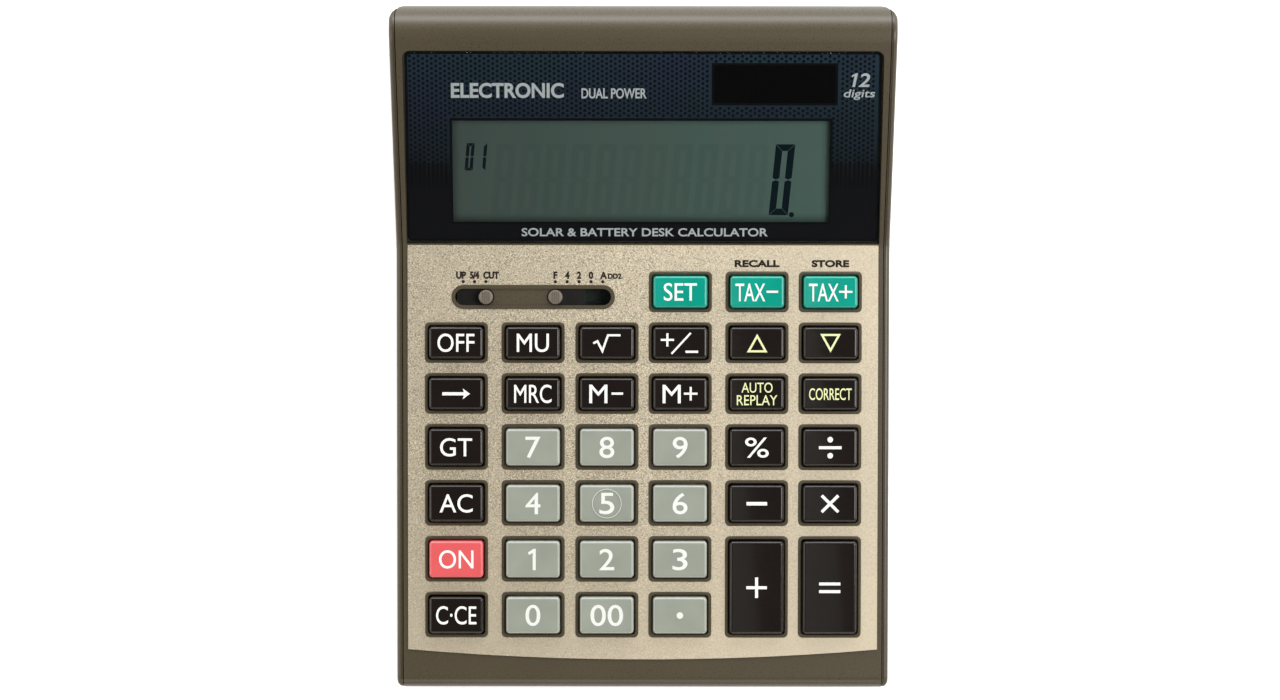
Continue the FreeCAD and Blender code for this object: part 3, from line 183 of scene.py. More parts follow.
class Print:
    """Thin marks in mm about (0, 0), gathered into one mesh and then laid on a surface."""

    def __init__(self, thickness=0.03):
        self.bm = bmesh.new()
        self.thickness = thickness

    def take(self, curve, move, weight=0.0):
        """Adds a filled curve's mesh, its points moved by a function and its edges pushed out by weight."""
        curve.extrude = self.thickness / 2
        maker = add_object("maker", curve)
        bpy.context.view_layer.update()
        mesh = bpy.data.meshes.new_from_object(maker.evaluated_get(bpy.context.evaluated_depsgraph_get()))
        spots = [v.co for v in mesh.vertices]
        low = [min(p[i] for p in spots) for i in (0, 1)]
        high = [max(p[i] for p in spots) for i in (0, 1)]
        for vertex in mesh.vertices:
            vertex.co.x, vertex.co.y = move(vertex.co.x, vertex.co.y, low, high)
        mesh.update()
        push_out(mesh, weight)
        self.bm.from_mesh(mesh)
        bpy.data.objects.remove(maker)
        bpy.data.meshes.remove(mesh)
        bpy.data.curves.remove(curve)

    def shape(self, *loops):
        """A flat shape from closed outlines. One inside another is a hole."""
        curve = bpy.data.curves.new("outline", "CURVE")
        curve.dimensions = "2D"
        curve.fill_mode = "BOTH"
        for loop in loops:
            spline = curve.splines.new("POLY")
            spline.points.add(len(loop) - 1)
            for point, (x, y) in zip(spline.points, loop):
                point.co = (x, y, 0, 1)
            spline.use_cyclic_u = True
        self.take(curve, lambda x, y, low, high: (x, y))

    def text(self, words, x, y, height, width, weight=0.0, lean=0.0):
        """A word whose outlines fill that height and width about (x, y)."""
        curve = bpy.data.curves.new("word", "FONT")
        curve.body = words
        curve.resolution_u = 5

        def move(px, py, low, high):
            tall = (height - 2 * weight) / (high[1] - low[1])
            wide = (width - 2 * weight) / (high[0] - low[0])
            py = (py - (low[1] + high[1]) / 2) * tall
            return x + (px - (low[0] + high[0]) / 2) * wide + py * lean, y + py

        self.take(curve, move, weight)

    def lay(self, name, slope, x, v, node=None, level=0.0, lift=0.012):
        """Makes the piece, its (0, 0) at (x, v), on a CAD node's surface or on one level of the slope."""
        surface = BVHTree.FromPolygons([q.co for q in NODES[node].data.vertices],
                                       [p.vertices[:] for p in NODES[node].data.polygons]) if node else None
        for vertex in self.bm.verts:
            px, pv, above = vertex.co.x + x, vertex.co.y + v, vertex.co.z + lift
            spot = slope.point(px, pv, level)
            if surface:
                start = slope.point(px, pv, slope.ABOVE_ALL)
                hit = surface.ray_cast(start, -slope.out)[0]
                spot = hit if hit else spot
            vertex.co = spot + slope.out * above * MM
        return add_object(name, mesh_from(self.bm, name))


# ---- materials ----


class Surface:
    """Builds one material's nodes. Its textures read the object's own coordinates, so they move with it."""

    def __init__(self, name, roughness=0.5, metallic=0.0, coat=0.0):
        self.material = bpy.data.materials.new(name)
        self.material.use_nodes = True
        self.tree = self.material.node_tree
        self.shader = self.tree.nodes["Principled BSDF"]
        self.place = self.add("ShaderNodeTexCoord").outputs["Object"]
        self.put("Roughness", roughness)
        self.put("Metallic", metallic)
        self.put("Coat Weight", coat)
        self.put("Coat Roughness", 0.08)

    def add(self, kind, inputs=(), **settings):
        node = self.tree.nodes.new(kind)
        for key, value in settings.items():
            setattr(node, key, value)
        for key, value in dict(inputs).items():
            self.feed(node.inputs[key], value)
        return node

    def feed(self, socket, value):
        if isinstance(value, bpy.types.NodeSocket):
            self.tree.links.new(value, socket)
        elif hasattr(value, "__len__") and len(value) == 3 and socket.type == "RGBA":
            socket.default_value = (*value, 1.0)
        else:
            socket.default_value = value

    def put(self, name, value):
        """Sets or links one of the shader's inputs."""
        self.feed(self.shader.inputs[name], value)

    def maths(self, operation, a, b=0.0):
        return self.add("ShaderNodeMath", {0: a, 1: b}, operation=operation).outputs[0]

    def along(self, axis):
        """The object coordinate along X, Y or Z, in metres."""
        return self.add("ShaderNodeSeparateXYZ", {0: self.place}).outputs[axis]

    def noise(self, size, detail=2.0, stretch=(1, 1, 1)):
        """Soft noise from about 0.3 to 0.7, with features of that size in mm."""
        where = self.add("ShaderNodeMapping", {"Vector": self.place, "Scale": stretch}).outputs[0]
        settings = {"Vector": where, "Scale": 1 / (size * MM), "Detail": detail}
        return self.add("ShaderNodeTexNoise", settings).outputs[0]

    def grains(self, size):
        """A different random value in each cell of that size in mm."""
        cells = self.add("ShaderNodeTexVoronoi", {"Vector": self.place, "Scale": 1 / (size * MM)})
        return self.add("ShaderNodeSeparateColor", {0: cells.outputs["Color"]}).outputs[0]

    def span(self, value, low, high, start=0.0, end=1.0):
        """Moves value's stretch from low to high onto start to end."""
        settings = {"Value": value, "From Min": low, "From Max": high, "To Min": start, "To Max": end}
        return self.add("ShaderNodeMapRange", settings).outputs[0]

    def mix(self, share, a, b, blend="MIX"):
        node = self.add("ShaderNodeMix", data_type="RGBA", blend_type=blend)
        for index, value in ((0, share), (6, a), (7, b)):
            self.feed(node.inputs[index], value)
        return node.outputs[2]

    def grey(self, level):
        """A grey from a number."""
        return self.add("ShaderNodeCombineColor", {0: level, 1: level, 2: level}).outputs[0]

    def dot(self, vector, direction):
        """How far a vector reaches in a fixed direction."""
        node = self.add("ShaderNodeVectorMath", {0: vector, 1: tuple(direction)}, operation="DOT_PRODUCT")
        return node.outputs["Value"]

    def bump(self, height, depth):
        """Bumps of that depth in mm."""
        bump = self.add("ShaderNodeBump", {"Height": height, "Distance": depth * MM})
        self.put("Normal", bump.outputs[0])


def shade(colour, factor):
    return tuple(c * factor for c in colour)


def moulded(name, colour, roughness, grain=0.35, depth=0.006):
    """Moulded plastic: faintly cloudy, with a fine texture in its roughness and a grain in its surface."""
    s = Surface(name)
    cloud, fine = s.noise(22.0, 3.0), s.noise(grain, 2.0)
    tone = s.mix(s.span(cloud, 0.3, 0.7), shade(colour, 0.92), shade(colour, 1.08))
    s.put("Base Color", s.mix(s.span(fine, 0.35, 0.65), tone, shade(colour, 1.06)))
    s.put("Roughness", s.span(fine, 0.3, 0.7, roughness - 0.06, roughness + 0.08))
    s.bump(fine, depth)
    return s.material


def gloss_key(name, colour, rim, painted_highlight_share, specular=0.5, smooth=0.16, coat=0.15):
    """A polished key: slight orange peel, hairline rubs in its roughness, and a painted highlight in the rim
    colour round its rounded edge.
    """
    s = Surface(name, coat=coat)
    peel, rubs = s.noise(2.2, 2.0), s.noise(0.5, 3.0, (0.25, 1.0, 1.0))
    tone = s.mix(s.span(s.noise(9.0), 0.3, 0.7), shade(colour, 0.94), shade(colour, 1.06))
    # Painted highlight: where the rounded edge turns away from the slope, the key takes the paler rim colour.
    facing = s.dot(s.add("ShaderNodeNewGeometry").outputs["Normal"], KEYPAD.out)
    sides = s.span(facing, 0.30, 0.55, 0.0, 1.0)
    edge = s.maths("MULTIPLY", s.span(facing, 0.985, 0.90, 0.0, painted_highlight_share), sides)
    s.put("Base Color", s.mix(edge, tone, rim))
    s.put("Roughness", s.span(rubs, 0.35, 0.7, smooth, smooth + 0.09))
    s.put("Specular IOR Level", specular)
    s.bump(peel, 0.004)
    return s.material


def knob_plastic():
    """A switch's knob: warm grey on top, and painted near black lower down, a painted shade on the slider where it
    shows through the slot.
    """
    s = Surface("knob_plastic")
    top = KEYPAD.box("decimal_switch_knob")[1][2]
    height = s.dot(s.place, KEYPAD.out)
    # Painted shade: below this height the knob is near black, standing in for the shade in the slot.
    above_painted_shade = s.span(height, (top - 3.6) * MM, (top - 2.6) * MM)
    fine = s.noise(0.4)
    tone = s.mix(s.span(fine, 0.3, 0.7), (0.150, 0.126, 0.094), (0.185, 0.158, 0.120))
    s.put("Base Color", s.mix(above_painted_shade, (0.006, 0.005, 0.004), tone))
    s.put("Roughness", s.span(fine, 0.3, 0.7, 0.32, 0.44))
    s.bump(fine, 0.006)
    return s.material


def champagne_plate():
    """Blasted, anodised aluminium: a sparkling grain, fainter to the right and front, over a soft tone, with
    painted light that darkens the left and back and lightens the front.
    """
    s = Surface("champagne_plate", metallic=0.82)
    colour = (0.645, 0.565, 0.425)
    grain, fine, cloud = s.grains(0.36), s.noise(0.32, 1.0), s.noise(30.0, 2.0)
    strength = s.maths("MULTIPLY", s.span(s.along(0), 0.0, 55 * MM, 1.0, 0.3),
                       s.span(s.along(1), -80 * MM, -35 * MM, 0.4, 1.0))
    tone = s.mix(s.span(cloud, 0.3, 0.7), shade(colour, 0.96), shade(colour, 1.04))
    dark = s.maths("MULTIPLY", s.span(grain, 0.50, 0.95), strength)
    pale = s.maths("MULTIPLY", s.span(fine, 0.52, 0.64), strength)
    tone = s.mix(pale, s.mix(dark, tone, shade(colour, 0.52)), shade(colour, 1.52))
    # Painted light: the plate is made darker to the left and back and lighter to the front and right.
    level = s.maths("MULTIPLY", s.span(s.along(0), -65 * MM, 25 * MM, 0.93, 1.01),
                    s.span(s.along(1), -80 * MM, -40 * MM, 1.08, 0.98))
    s.put("Base Color", s.mix(1.0, tone, s.grey(level), "MULTIPLY"))
    s.put("Roughness", s.span(grain, 0.0, 1.0, 0.42, 0.56))
    s.bump(fine, 0.03)
    return s.material


def clear_lens():
    """Polished clear sheet: what is behind it shows straight through, and its faces mirror a little."""
    s = Surface("clear_lens")
    tree = s.tree
    clear = s.add("ShaderNodeBsdfTransparent", {"Color": (0.95, 0.965, 0.965)})
    mirror = s.add("ShaderNodeBsdfGlossy", {"Roughness": s.span(s.noise(6.0), 0.3, 0.7, 0.015, 0.04)})
    share = s.add("ShaderNodeFresnel", {"IOR": 1.36}).outputs[0]
    mixed = s.add("ShaderNodeMixShader", {0: share})
    tree.links.new(clear.outputs[0], mixed.inputs[1])
    tree.links.new(mirror.outputs[0], mixed.inputs[2])
    tree.links.new(mixed.outputs[0], tree.nodes["Material Output"].inputs["Surface"])
    tree.nodes.remove(s.shader)
    return s.material


def display_face(name="display_face", brightness=1.0):
    """The display's face: grey-green, lighter to the right, with a painted shadow along its edges, faintly banded.
    """
    s = Surface(name, roughness=0.35)
    x0, x1, v0, v1 = (MM * edge for edge in DISPLAY_WINDOW)
    share = s.span(s.along(0), x0, x1)
    plain = s.mix(share, (0.100, 0.138, 0.124), (0.120, 0.206, 0.175))
    banded = s.mix(share, (0.112, 0.142, 0.124), (0.132, 0.200, 0.168))
    bands = s.noise(7.0, 2.0, (1.0, 0.08, 0.08))
    tone = s.mix(s.span(bands, 0.42, 0.62, 0.0, 0.4), plain, banded)
    tone = s.mix(1.0, tone, s.grey(brightness), "MULTIPLY")
    across, up = s.along(0), s.dot(s.place, DISPLAY.up)
    # Painted shadow of the window's walls: darker towards each edge of the window.
    for value, edge, depth in ((across, x0, 2.0), (across, x1, -2.4), (up, v0, 2.2), (up, v1, -1.8)):
        shadow = s.span(value, edge, edge + depth * MM, 0.68)
        tone = s.mix(1.0, tone, s.grey(shadow), "MULTIPLY")
    s.put("Base Color", tone)
    s.put("Roughness", s.span(s.noise(0.4), 0.3, 0.7, 0.32, 0.45))
    s.put("Specular IOR Level", 0.15)
    return s.material


def lens_backing(fade_low, fade_high, top):
    """The ink behind the lens: blue-grey with teal and violet clouds, fading in two steps in Y to black."""
    s = Surface("lens_backing", roughness=0.45)
    cloud = s.span(s.noise(26.0, 2.0, (0.7, 1.0, 1.0)), 0.35, 0.65)
    pale = s.mix(cloud, (0.028, 0.066, 0.088), (0.034, 0.052, 0.104))
    deep = s.mix(cloud, (0.012, 0.030, 0.040), (0.017, 0.022, 0.044))
    ragged = s.maths("MULTIPLY", s.maths("SUBTRACT", s.noise(1.6, 0.0, (1.0, 0.02, 0.02)), 0.5), 7 * MM)
    height = s.maths("ADD", s.along(1), ragged)
    tone = s.mix(s.span(s.along(1), fade_high, top), deep, pale)
    s.put("Base Color", s.mix(s.span(height, fade_low, fade_high), (0.0050, 0.0050, 0.0078), tone))
    s.put("Roughness", s.span(s.noise(0.5), 0.3, 0.7, 0.4, 0.5))
    s.put("Specular IOR Level", 0.05)
    return s.material


def solar_face():
    """Amorphous solar cell: nearly black, in upright strips with thin brown seams."""
    s = Surface("solar_face", roughness=0.2)
    strip_width = 9.4 * MM
    across = s.maths("FRACT", s.maths("MULTIPLY", s.along(0), 1 / strip_width))
    strips = s.maths("ABSOLUTE", s.maths("SUBTRACT", across, 0.5))
    seam = s.span(strips, 0.0, 0.02, 1.0, 0.0)
    tone = s.mix(s.span(s.noise(5.0), 0.3, 0.7), (0.0005, 0.0002, 0.0005), (0.0009, 0.0004, 0.0008))
    s.put("Base Color", s.mix(s.maths("MULTIPLY", seam, 0.4), tone, (0.008, 0.004, 0.004)))
    s.put("Specular IOR Level", 0.01)
    s.put("Roughness", s.span(s.noise(1.0), 0.3, 0.7, 0.18, 0.3))
    return s.material


def metal(name, colour, roughness, size=0.4, stretch=(1, 12, 12)):
    """Plated or brushed metal, with fine lines along X."""
    s = Surface(name, metallic=1.0)
    lines = s.noise(size, 3.0, stretch)
    s.put("Base Color", s.mix(s.span(lines, 0.3, 0.7), shade(colour, 0.85), colour))
    s.put("Roughness", s.span(lines, 0.3, 0.7, roughness - 0.08, roughness + 0.12))
    s.bump(lines, 0.01)
    return s.material


def board_face():
    """A green lacquered board, with pale copper tracks just under the lacquer."""
    s = Surface("board_face", coat=0.5)
    settings = {"Vector": s.place, "Scale": 90.0, "Mortar Size": 0.012}
    tracks = s.add("ShaderNodeTexBrick", settings, offset=0.35)
    copper = s.span(tracks.outputs["Fac"], 0.3, 0.7)
    weave = s.span(s.noise(1.2), 0.3, 0.7)
    lacquer = s.mix(weave, (0.006, 0.020, 0.012), (0.009, 0.028, 0.017))
    s.put("Base Color", s.mix(copper, lacquer, (0.02, 0.055, 0.03)))
    s.put("Roughness", s.span(weave, 0.0, 1.0, 0.3, 0.42))
    s.bump(copper, 0.03)
    return s.material


def cell_jacket():
    """A printed battery jacket: a dark body, a copper-toned band at its positive end, bare metal ends."""
    s = Surface("cell_jacket", roughness=0.3, coat=0.6)
    low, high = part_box("battery_cell")
    grain = s.span(s.noise(0.6, 2.0, (0.1, 1, 1)), 0.3, 0.7)
    body = s.mix(grain, (0.012, 0.03, 0.09), (0.018, 0.04, 0.12))
    band = s.span(s.along(0), high.x - 0.0145, high.x - 0.0141)
    body = s.mix(band, body, s.mix(grain, (0.42, 0.20, 0.07), (0.52, 0.27, 0.10)))
    ends = s.maths("ADD", s.span(s.along(0), high.x - 0.0022, high.x - 0.0020),
                   s.span(s.along(0), low.x + 0.0010, low.x + 0.0008))
    s.put("Base Color", s.mix(ends, body, (0.62, 0.61, 0.58)))
    s.put("Metallic", ends)
    s.bump(grain, 0.004)
    return s.material


def ink(name, colour, roughness=0.45, specular=0.3):
    """Screen-printed ink, a little uneven in tone."""
    s = Surface(name)
    s.put("Specular IOR Level", specular)
    fleck = s.span(s.noise(0.5, 3.0), 0.3, 0.7)
    s.put("Base Color", s.mix(fleck, shade(colour, 0.94), colour))
    s.put("Roughness", s.span(fleck, 0.0, 1.0, roughness, roughness + 0.1))
    return s.material


def make_materials():
    """One material for each of the record's material slots."""
    return {
        "case_brown": moulded("case_brown", (0.067, 0.0535, 0.0315), 0.30, grain=0.3, depth=0.006),
        "plate": champagne_plate(),
        "lens": clear_lens(),
        # Each key's second colour and its share are the painted highlight on its rounded edge.
        "black_key": gloss_key("black_key", (0.0105, 0.0075, 0.0062), (0.030, 0.025, 0.022), 0.25,
                               specular=0.3, smooth=0.11, coat=0.4),
        "pale_key": gloss_key("pale_key", (0.285, 0.308, 0.262), (0.50, 0.52, 0.45), 0.45),
        "green_key": gloss_key("green_key", (0.0010, 0.290, 0.215), (0.02, 0.42, 0.33), 0.4),
        "red_key": gloss_key("red_key", (0.700, 0.105, 0.112), (0.78, 0.20, 0.20), 0.4),
        "knob": knob_plastic(),
        "contact_metal": metal("contact_metal", (0.72, 0.70, 0.66), 0.3),
        "dome_rubber": moulded("dome_rubber", (0.42, 0.42, 0.40), 0.7, grain=0.6, depth=0.01),
        "board": board_face(),
        "resin": moulded("resin", (0.012, 0.012, 0.013), 0.25, grain=1.5, depth=0.004),
        "lcd": display_face(),
        "frame_plastic": moulded("frame_plastic", (0.50, 0.50, 0.48), 0.5),
        "film": moulded("film", (0.50, 0.27, 0.07), 0.25, grain=1.0, depth=0.002),
        "solar": solar_face(),
        "cell_jacket": cell_jacket(),
        "wire_jacket": moulded("wire_jacket", (0.35, 0.03, 0.03), 0.4, grain=0.8, depth=0.003),
        "screw_steel": metal("screw_steel", (0.42, 0.41, 0.39), 0.32, size=0.6, stretch=(1, 1, 4)),
        "foot_rubber": moulded("foot_rubber", (0.020, 0.020, 0.020), 0.75, grain=0.5, depth=0.02),
    }


def dress_nodes(materials):
    """Gives each CAD node its slot's material."""
    for name, node in NODES.items():
        node.data.materials.clear()
        node.data.materials.append(materials[SLOT_OF[name]])


def finished(piece, material, body):
    """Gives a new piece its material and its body."""
    piece.data.materials.append(material)
    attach(piece, body)
    return piece


# ---- the keys' legends ----

BAR, DOT = 0.85, 1.60  # thickness of a sign's bars and diameter of the division sign's dots
CAP, NUMERAL = 5.3, 6.15  # heights of letters and numerals

# Legends that are plain words: key, words, width, height.
WORDS = (
    ("key_off", "OFF", 10.6, CAP), ("key_mark_up", "MU", 9.2, CAP), ("key_memory_recall", "MRC", 10.7, CAP),
    ("key_grand_total", "GT", 9.2, CAP), ("key_all_clear", "AC", 9.5, CAP), ("key_on", "ON", 9.9, CAP),
    ("key_set", "SET", 9.5, 5.1), ("key_percent", "%", 6.8, 5.8), ("key_clear_entry", "C·CE", 11.6, CAP),
    ("key_correct", "CORRECT", 12.2, 3.4), ("key_00", "00", 9.4, NUMERAL),
) + tuple((f"key_{n}", str(n), 4.3, NUMERAL) for n in range(10) if n != 1)
WEIGHT, HEAVY = 0.02, 0.05  # how far the letters' and the numerals' edges are pushed out
LOCATING_RING = 4.14  # middle radius of the ring on the middle number key


def cross(half, arm):
    """The outline of an upright cross about (0, 0)."""
    return [(half, half), (half, arm), (-half, arm), (-half, half), (-arm, half), (-arm, -half),
            (-half, -half), (-half, -arm), (half, -arm), (half, -half), (arm, -half), (arm, half)]


def plus(mark, x, y, size, bar):
    mark.shape([(x + a, y + b) for a, b in cross(bar / 2, size / 2)])


def triangle(mark, up):
    """A hollow triangle that points up or down."""
    half_width, half_height, line = 2.95, 2.65, 0.6
    way = 1 if up else -1
    outer = [(-half_width, -way * half_height), (half_width, -way * half_height), (0, way * half_height)]
    slant = math.atan2(2 * half_height, half_width)
    drop, shrink = line / math.cos(slant), line / math.tan(slant / 2)
    base = -way * (half_height - line)
    inner = [(-half_width + shrink, base), (half_width - shrink, base), (0, way * (half_height - drop))]
    mark.shape(outer, inner)


def arrow(mark):
    mark.shape(stroke([(-3.95, 0), (3.2, 0)], 0.9))
    mark.shape([(4.0, 0), (1.9, 1.55), (2.3, 0.3), (2.3, -0.3), (1.9, -1.55)])


def draw_legend(name, mark):
    """Draws a key's legend, if it isn't a plain word."""
    if name == "key_square_root":
        mark.shape(stroke([(-3.9, -0.1), (-2.7, 0.5), (-1.3, -2.3), (0.3, 2.2), (3.9, 2.2)], 0.6))
    elif name == "key_sign_change":
        plus(mark, -3.7, 0.9, 3.8, 0.6)
        mark.shape(stroke([(-2.5, -3.1), (3.0, 2.9)], 0.55))
        mark.shape(rectangle(3.3, -2.5, 3.6, 0.65))
    elif name in ("key_step_up", "key_step_down"):
        triangle(mark, name == "key_step_up")
    elif name == "key_backspace":
        arrow(mark)
    elif name in ("key_memory_minus", "key_memory_plus"):
        mark.text("M", -2.45, 0, CAP, 5.2, WEIGHT)
        if name == "key_memory_minus":
            mark.shape(rectangle(3.0, 0.1, 3.3, 0.65))
        else:
            plus(mark, 3.0, 0.1, 3.9, 0.6)
    elif name in ("key_tax_minus", "key_tax_plus"):
        mark.text("TAX", -2.0, -0.1, 5.1, 8.5, WEIGHT)
        if name == "key_tax_minus":
            mark.shape(rectangle(4.3, 0.1, 3.3, 0.6))
        else:
            plus(mark, 4.3, 0.1, 3.8, 0.55)
    elif name == "key_auto_replay":
        mark.text("AUTO", 0, 1.85, 2.9, 8.9, WEIGHT / 2)
        mark.text("REPLAY", 0, -1.75, 2.9, 11.6, WEIGHT / 2)
    elif name == "key_1":
        mark.shape(figure_one(0.25, 0, NUMERAL, 0.88))
    elif name == "key_divide":
        mark.shape(rectangle(0, 0, 6.5, BAR))
        for side in (-1, 1):
            mark.shape(ring(0, side * 2.3, DOT / 2))
    elif name == "key_minus":
        mark.shape(rectangle(0, 0, 5.9, BAR + 0.15))
    elif name == "key_multiply":
        mark.shape([((a - b) * math.sqrt(0.5), (a + b) * math.sqrt(0.5)) for a, b in cross(BAR / 2, 3.35)])
    elif name == "key_plus":
        plus(mark, 0, 0, 5.9, BAR)
    elif name == "key_equals":
        for side in (-1, 1):
            mark.shape(rectangle(0, side * 1.1, 6.1, BAR))
    elif name == "key_decimal_point":
        mark.shape(ring(0, 0, 0.95))


def print_legends(white, yellow, soft):
    """Each key's legend, laid on its dished top."""
    words = {name: rest for name, *rest in WORDS}
    yellow_keys = ("key_step_up", "key_step_down", "key_auto_replay", "key_correct")
    inks = {"pale_key": soft}
    for name in KEYS:
        mark = Print()
        if name in words:
            text, width, height = words[name]
            mark.text(text, 0, 0, height, width, HEAVY if height == NUMERAL else WEIGHT)
            if name == "key_5":
                mark.shape(ring(0, 0, LOCATING_RING + 0.07, 48), ring(0, 0, LOCATING_RING - 0.07, 48))
        else:
            draw_legend(name, mark)
        piece = mark.lay(name.replace("key", "legend", 1), KEYPAD, *KEYPAD.middle(name), node=name)
        material = yellow if name in yellow_keys else inks.get(SLOT_OF[name], white)
        finished(piece, material, BODY_OF[name])


# ---- print on the plate ----


def switch_places(joint, node, count):
    """The X of each place of a switch, from its travel."""
    low, high = (end / MM for end in JOINTS[joint]["range_m"])
    x = KEYPAD.middle(node)[0]
    return [x + low + (high - low) * i / (count - 1) for i in range(count)]


def print_plate(material):
    """The switches' labels and dots, and the words above two of the keys."""
    mark = Print(0.02)
    rounding = switch_places("rounding_switch_slide", "rounding_switch_knob", 3)
    decimal = switch_places("decimal_switch_slide", "decimal_switch_knob", 5)
    switch_v = KEYPAD.middle("decimal_switch_knob")[1]
    dots_v, labels_v, height = switch_v + 4.4, switch_v + 6.25, 2.15
    for x in rounding + decimal:
        mark.shape(ring(x, dots_v, 0.48, 12))
    labels = (("UP", rounding[0] - 0.6, 2.9), ("5/4", rounding[1], 2.7), ("CUT", rounding[2] + 1.5, 4.6),
              ("F", decimal[0], 1.2), ("4", decimal[1], 1.3), ("2", decimal[2], 1.25), ("0", decimal[3], 1.3),
              ("A", decimal[4] + 0.2, 1.9))
    for words, x, width in labels:
        mark.text(words, x, labels_v, height, width, 0.14)
    mark.text("DD2", decimal[4] + 3.4, labels_v - 0.25, 1.6, 3.9, 0.11)
    for words, key in (("RECALL", "key_tax_minus"), ("STORE", "key_tax_plus")):
        x, _ = KEYPAD.middle(key)
        words_v = KEYPAD.box(key)[1][1] + 2.35
        mark.text(words, x, words_v, 2.1, 2.15 * len(words), 0.16)
    piece = mark.lay("plate_print", KEYPAD, 0, 0, node="face_plate", lift=0.006)
    finished(piece, material, BODY_OF["face_plate"])


# ---- print behind the lens ----


def inset(box, left, right, front, back):
    """(x0, x1, v0, v1) of a box's face, drawn in by those margins."""
    (x0, v0, _), (x1, v1, _) = box
    return x0 + left, x1 - right, v0 + front, v1 - back


DISPLAY_WINDOW = inset(DISPLAY.box("lcd_glass"), 3.3, 3.3, 2.65, 2.75)
SOLAR_WINDOW = inset(DISPLAY.box("solar_cell"), 1.95, 1.95, 0.6, 1.2)
DOT_PITCH = 1.43  # between the dots up a column
COLUMN_PITCH = DOT_PITCH * math.sqrt(3) / 2
DOT_RADIUS = 0.45
DOT_MARGIN = 0.9  # from a window to the nearest dot's middle
MESH_DEPTH = 23.0  # the dots stop this far up from the lens's front edge
LENS_GAP, LENS_CORNER = 0.15, 1.4  # between the print and the lens's edge, and the print's corner radius
LENS_RIM, DISPLAY_RIM, SOLAR_RIM = 0.75, 0.75, 0.55  # widths of the dark lines round the edge and the windows


def outline_of(window, grow=0.0):
    x0, x1, v0, v1 = window
    return rectangle((x0 + x1) / 2, (v0 + v1) / 2, x1 - x0 + 2 * grow, v1 - v0 + 2 * grow)


def clear_of(x, v, margin):
    """Whether a spot is outside both windows by a margin."""
    return all(not (x0 - margin < x < x1 + margin and v0 - margin < v < v1 + margin)
               for x0, x1, v0, v1 in (DISPLAY_WINDOW, SOLAR_WINDOW))


def print_lens(backing, dark, white):
    """The ink behind the lens: its ground with two windows, a mesh of dark dots, and a few words."""
    (x0, v0, w0), (x1, v1, _) = DISPLAY.box("display_lens")
    ground = Print(0.02)
    middle, width, height = ((x0 + x1) / 2, (v0 + v1) / 2), x1 - x0, v1 - v0
    ground.shape(rectangle(*middle, width - 2 * LENS_GAP, height - 2 * LENS_GAP, LENS_CORNER),
                 outline_of(DISPLAY_WINDOW), outline_of(SOLAR_WINDOW))
    piece = ground.lay("lens_ground", DISPLAY, 0, 0, level=w0, lift=-0.06)
    finished(piece, backing, BODY_OF["display_lens"])

    dots = bmesh.new()
    first, columns = x0 + 1.6, int((x1 - x0 - 3.2) / COLUMN_PITCH) + 1
    last_row, mesh_foot = v1 - 1.5, v0 + MESH_DEPTH
    rows = int((last_row - mesh_foot) / DOT_PITCH) + 1
    for i in range(columns):
        x = first + i * COLUMN_PITCH
        for j in range(rows):
            v = last_row - (j + 0.5 * (i % 2)) * DOT_PITCH
            if clear_of(x, v, DOT_MARGIN):
                flat_dot(dots, x, v, DOT_RADIUS, DOT_RADIUS)
        if clear_of(x, mesh_foot - 3, DOT_MARGIN):
            flat_dot(dots, x, mesh_foot - 3.4, DOT_RADIUS, 3.6)
    margins = Print(0.01)
    width, height = width - 0.4, height - 0.4
    margins.shape(rectangle(*middle, width, height, LENS_CORNER),
                  rectangle(*middle, width - 2 * LENS_RIM, height - 2 * LENS_RIM, 0.8))
    for window, rim in ((DISPLAY_WINDOW, DISPLAY_RIM), (SOLAR_WINDOW, SOLAR_RIM)):
        margins.shape(outline_of(window, rim), outline_of(window, 0.02))
    margins.bm.from_mesh(mesh_from(dots, "lens_dots_mesh"))
    piece = margins.lay("lens_dots", DISPLAY, 0, 0, level=w0, lift=-0.035)
    finished(piece, dark, BODY_OF["display_lens"])

    words = Print(0.01)
    left, _, front, _ = DISPLAY_WINDOW
    _, solar_right, solar_front, solar_back = SOLAR_WINDOW
    words.text("SOLAR & BATTERY DESK CALCULATOR", 0.45, front - 3.05, 2.45, 70.5, 0.07)
    words.text("ELECTRONIC", left + 15.8, solar_front + 3.7, 4.4, 32.0, 0.16)
    words.text("DUAL POWER", left + 46.0, solar_front + 2.9, 3.0, 18.4, 0.07)
    side, count_v, lean = (solar_right + x1) / 2, solar_back - 4.3, 0.2
    words.shape(figure_one(side - 1.3, count_v, 3.95, 0.78, lean))
    words.text("2", side + 1.7, count_v, 3.95, 3.0, 0.10, lean)
    words.text("digits", side + 0.1, solar_back - 8.5, 3.05, 8.8, 0.04, lean)
    piece = words.lay("lens_words", DISPLAY, 0, 0, level=w0, lift=-0.022)
    finished(piece, white, BODY_OF["display_lens"])


def flat_dot(bm, x, y, half_width, half_height, points=10):
    """Adds an upright oval with two flat faces and a thin wall."""
    straight = half_height - half_width
    rings = []
    for z in (-0.005, 0.005):
        rings.append([bm.verts.new((px, py + math.copysign(straight, py - y), z))
                      for px, py in ring(x, y, half_width, points)])
    bm.faces.new(rings[0][::-1])
    bm.faces.new(rings[1])
    for i in range(points):
        j = (i + 1) % points
        bm.faces.new((rings[0][i], rings[0][j], rings[1][j], rings[1][i]))


# ---- what the display shows ----

SEGMENTS = {"0": "abcdef", "1": "bc", "8": "abcdefg"}
SLANT = math.tan(math.radians(5.2))


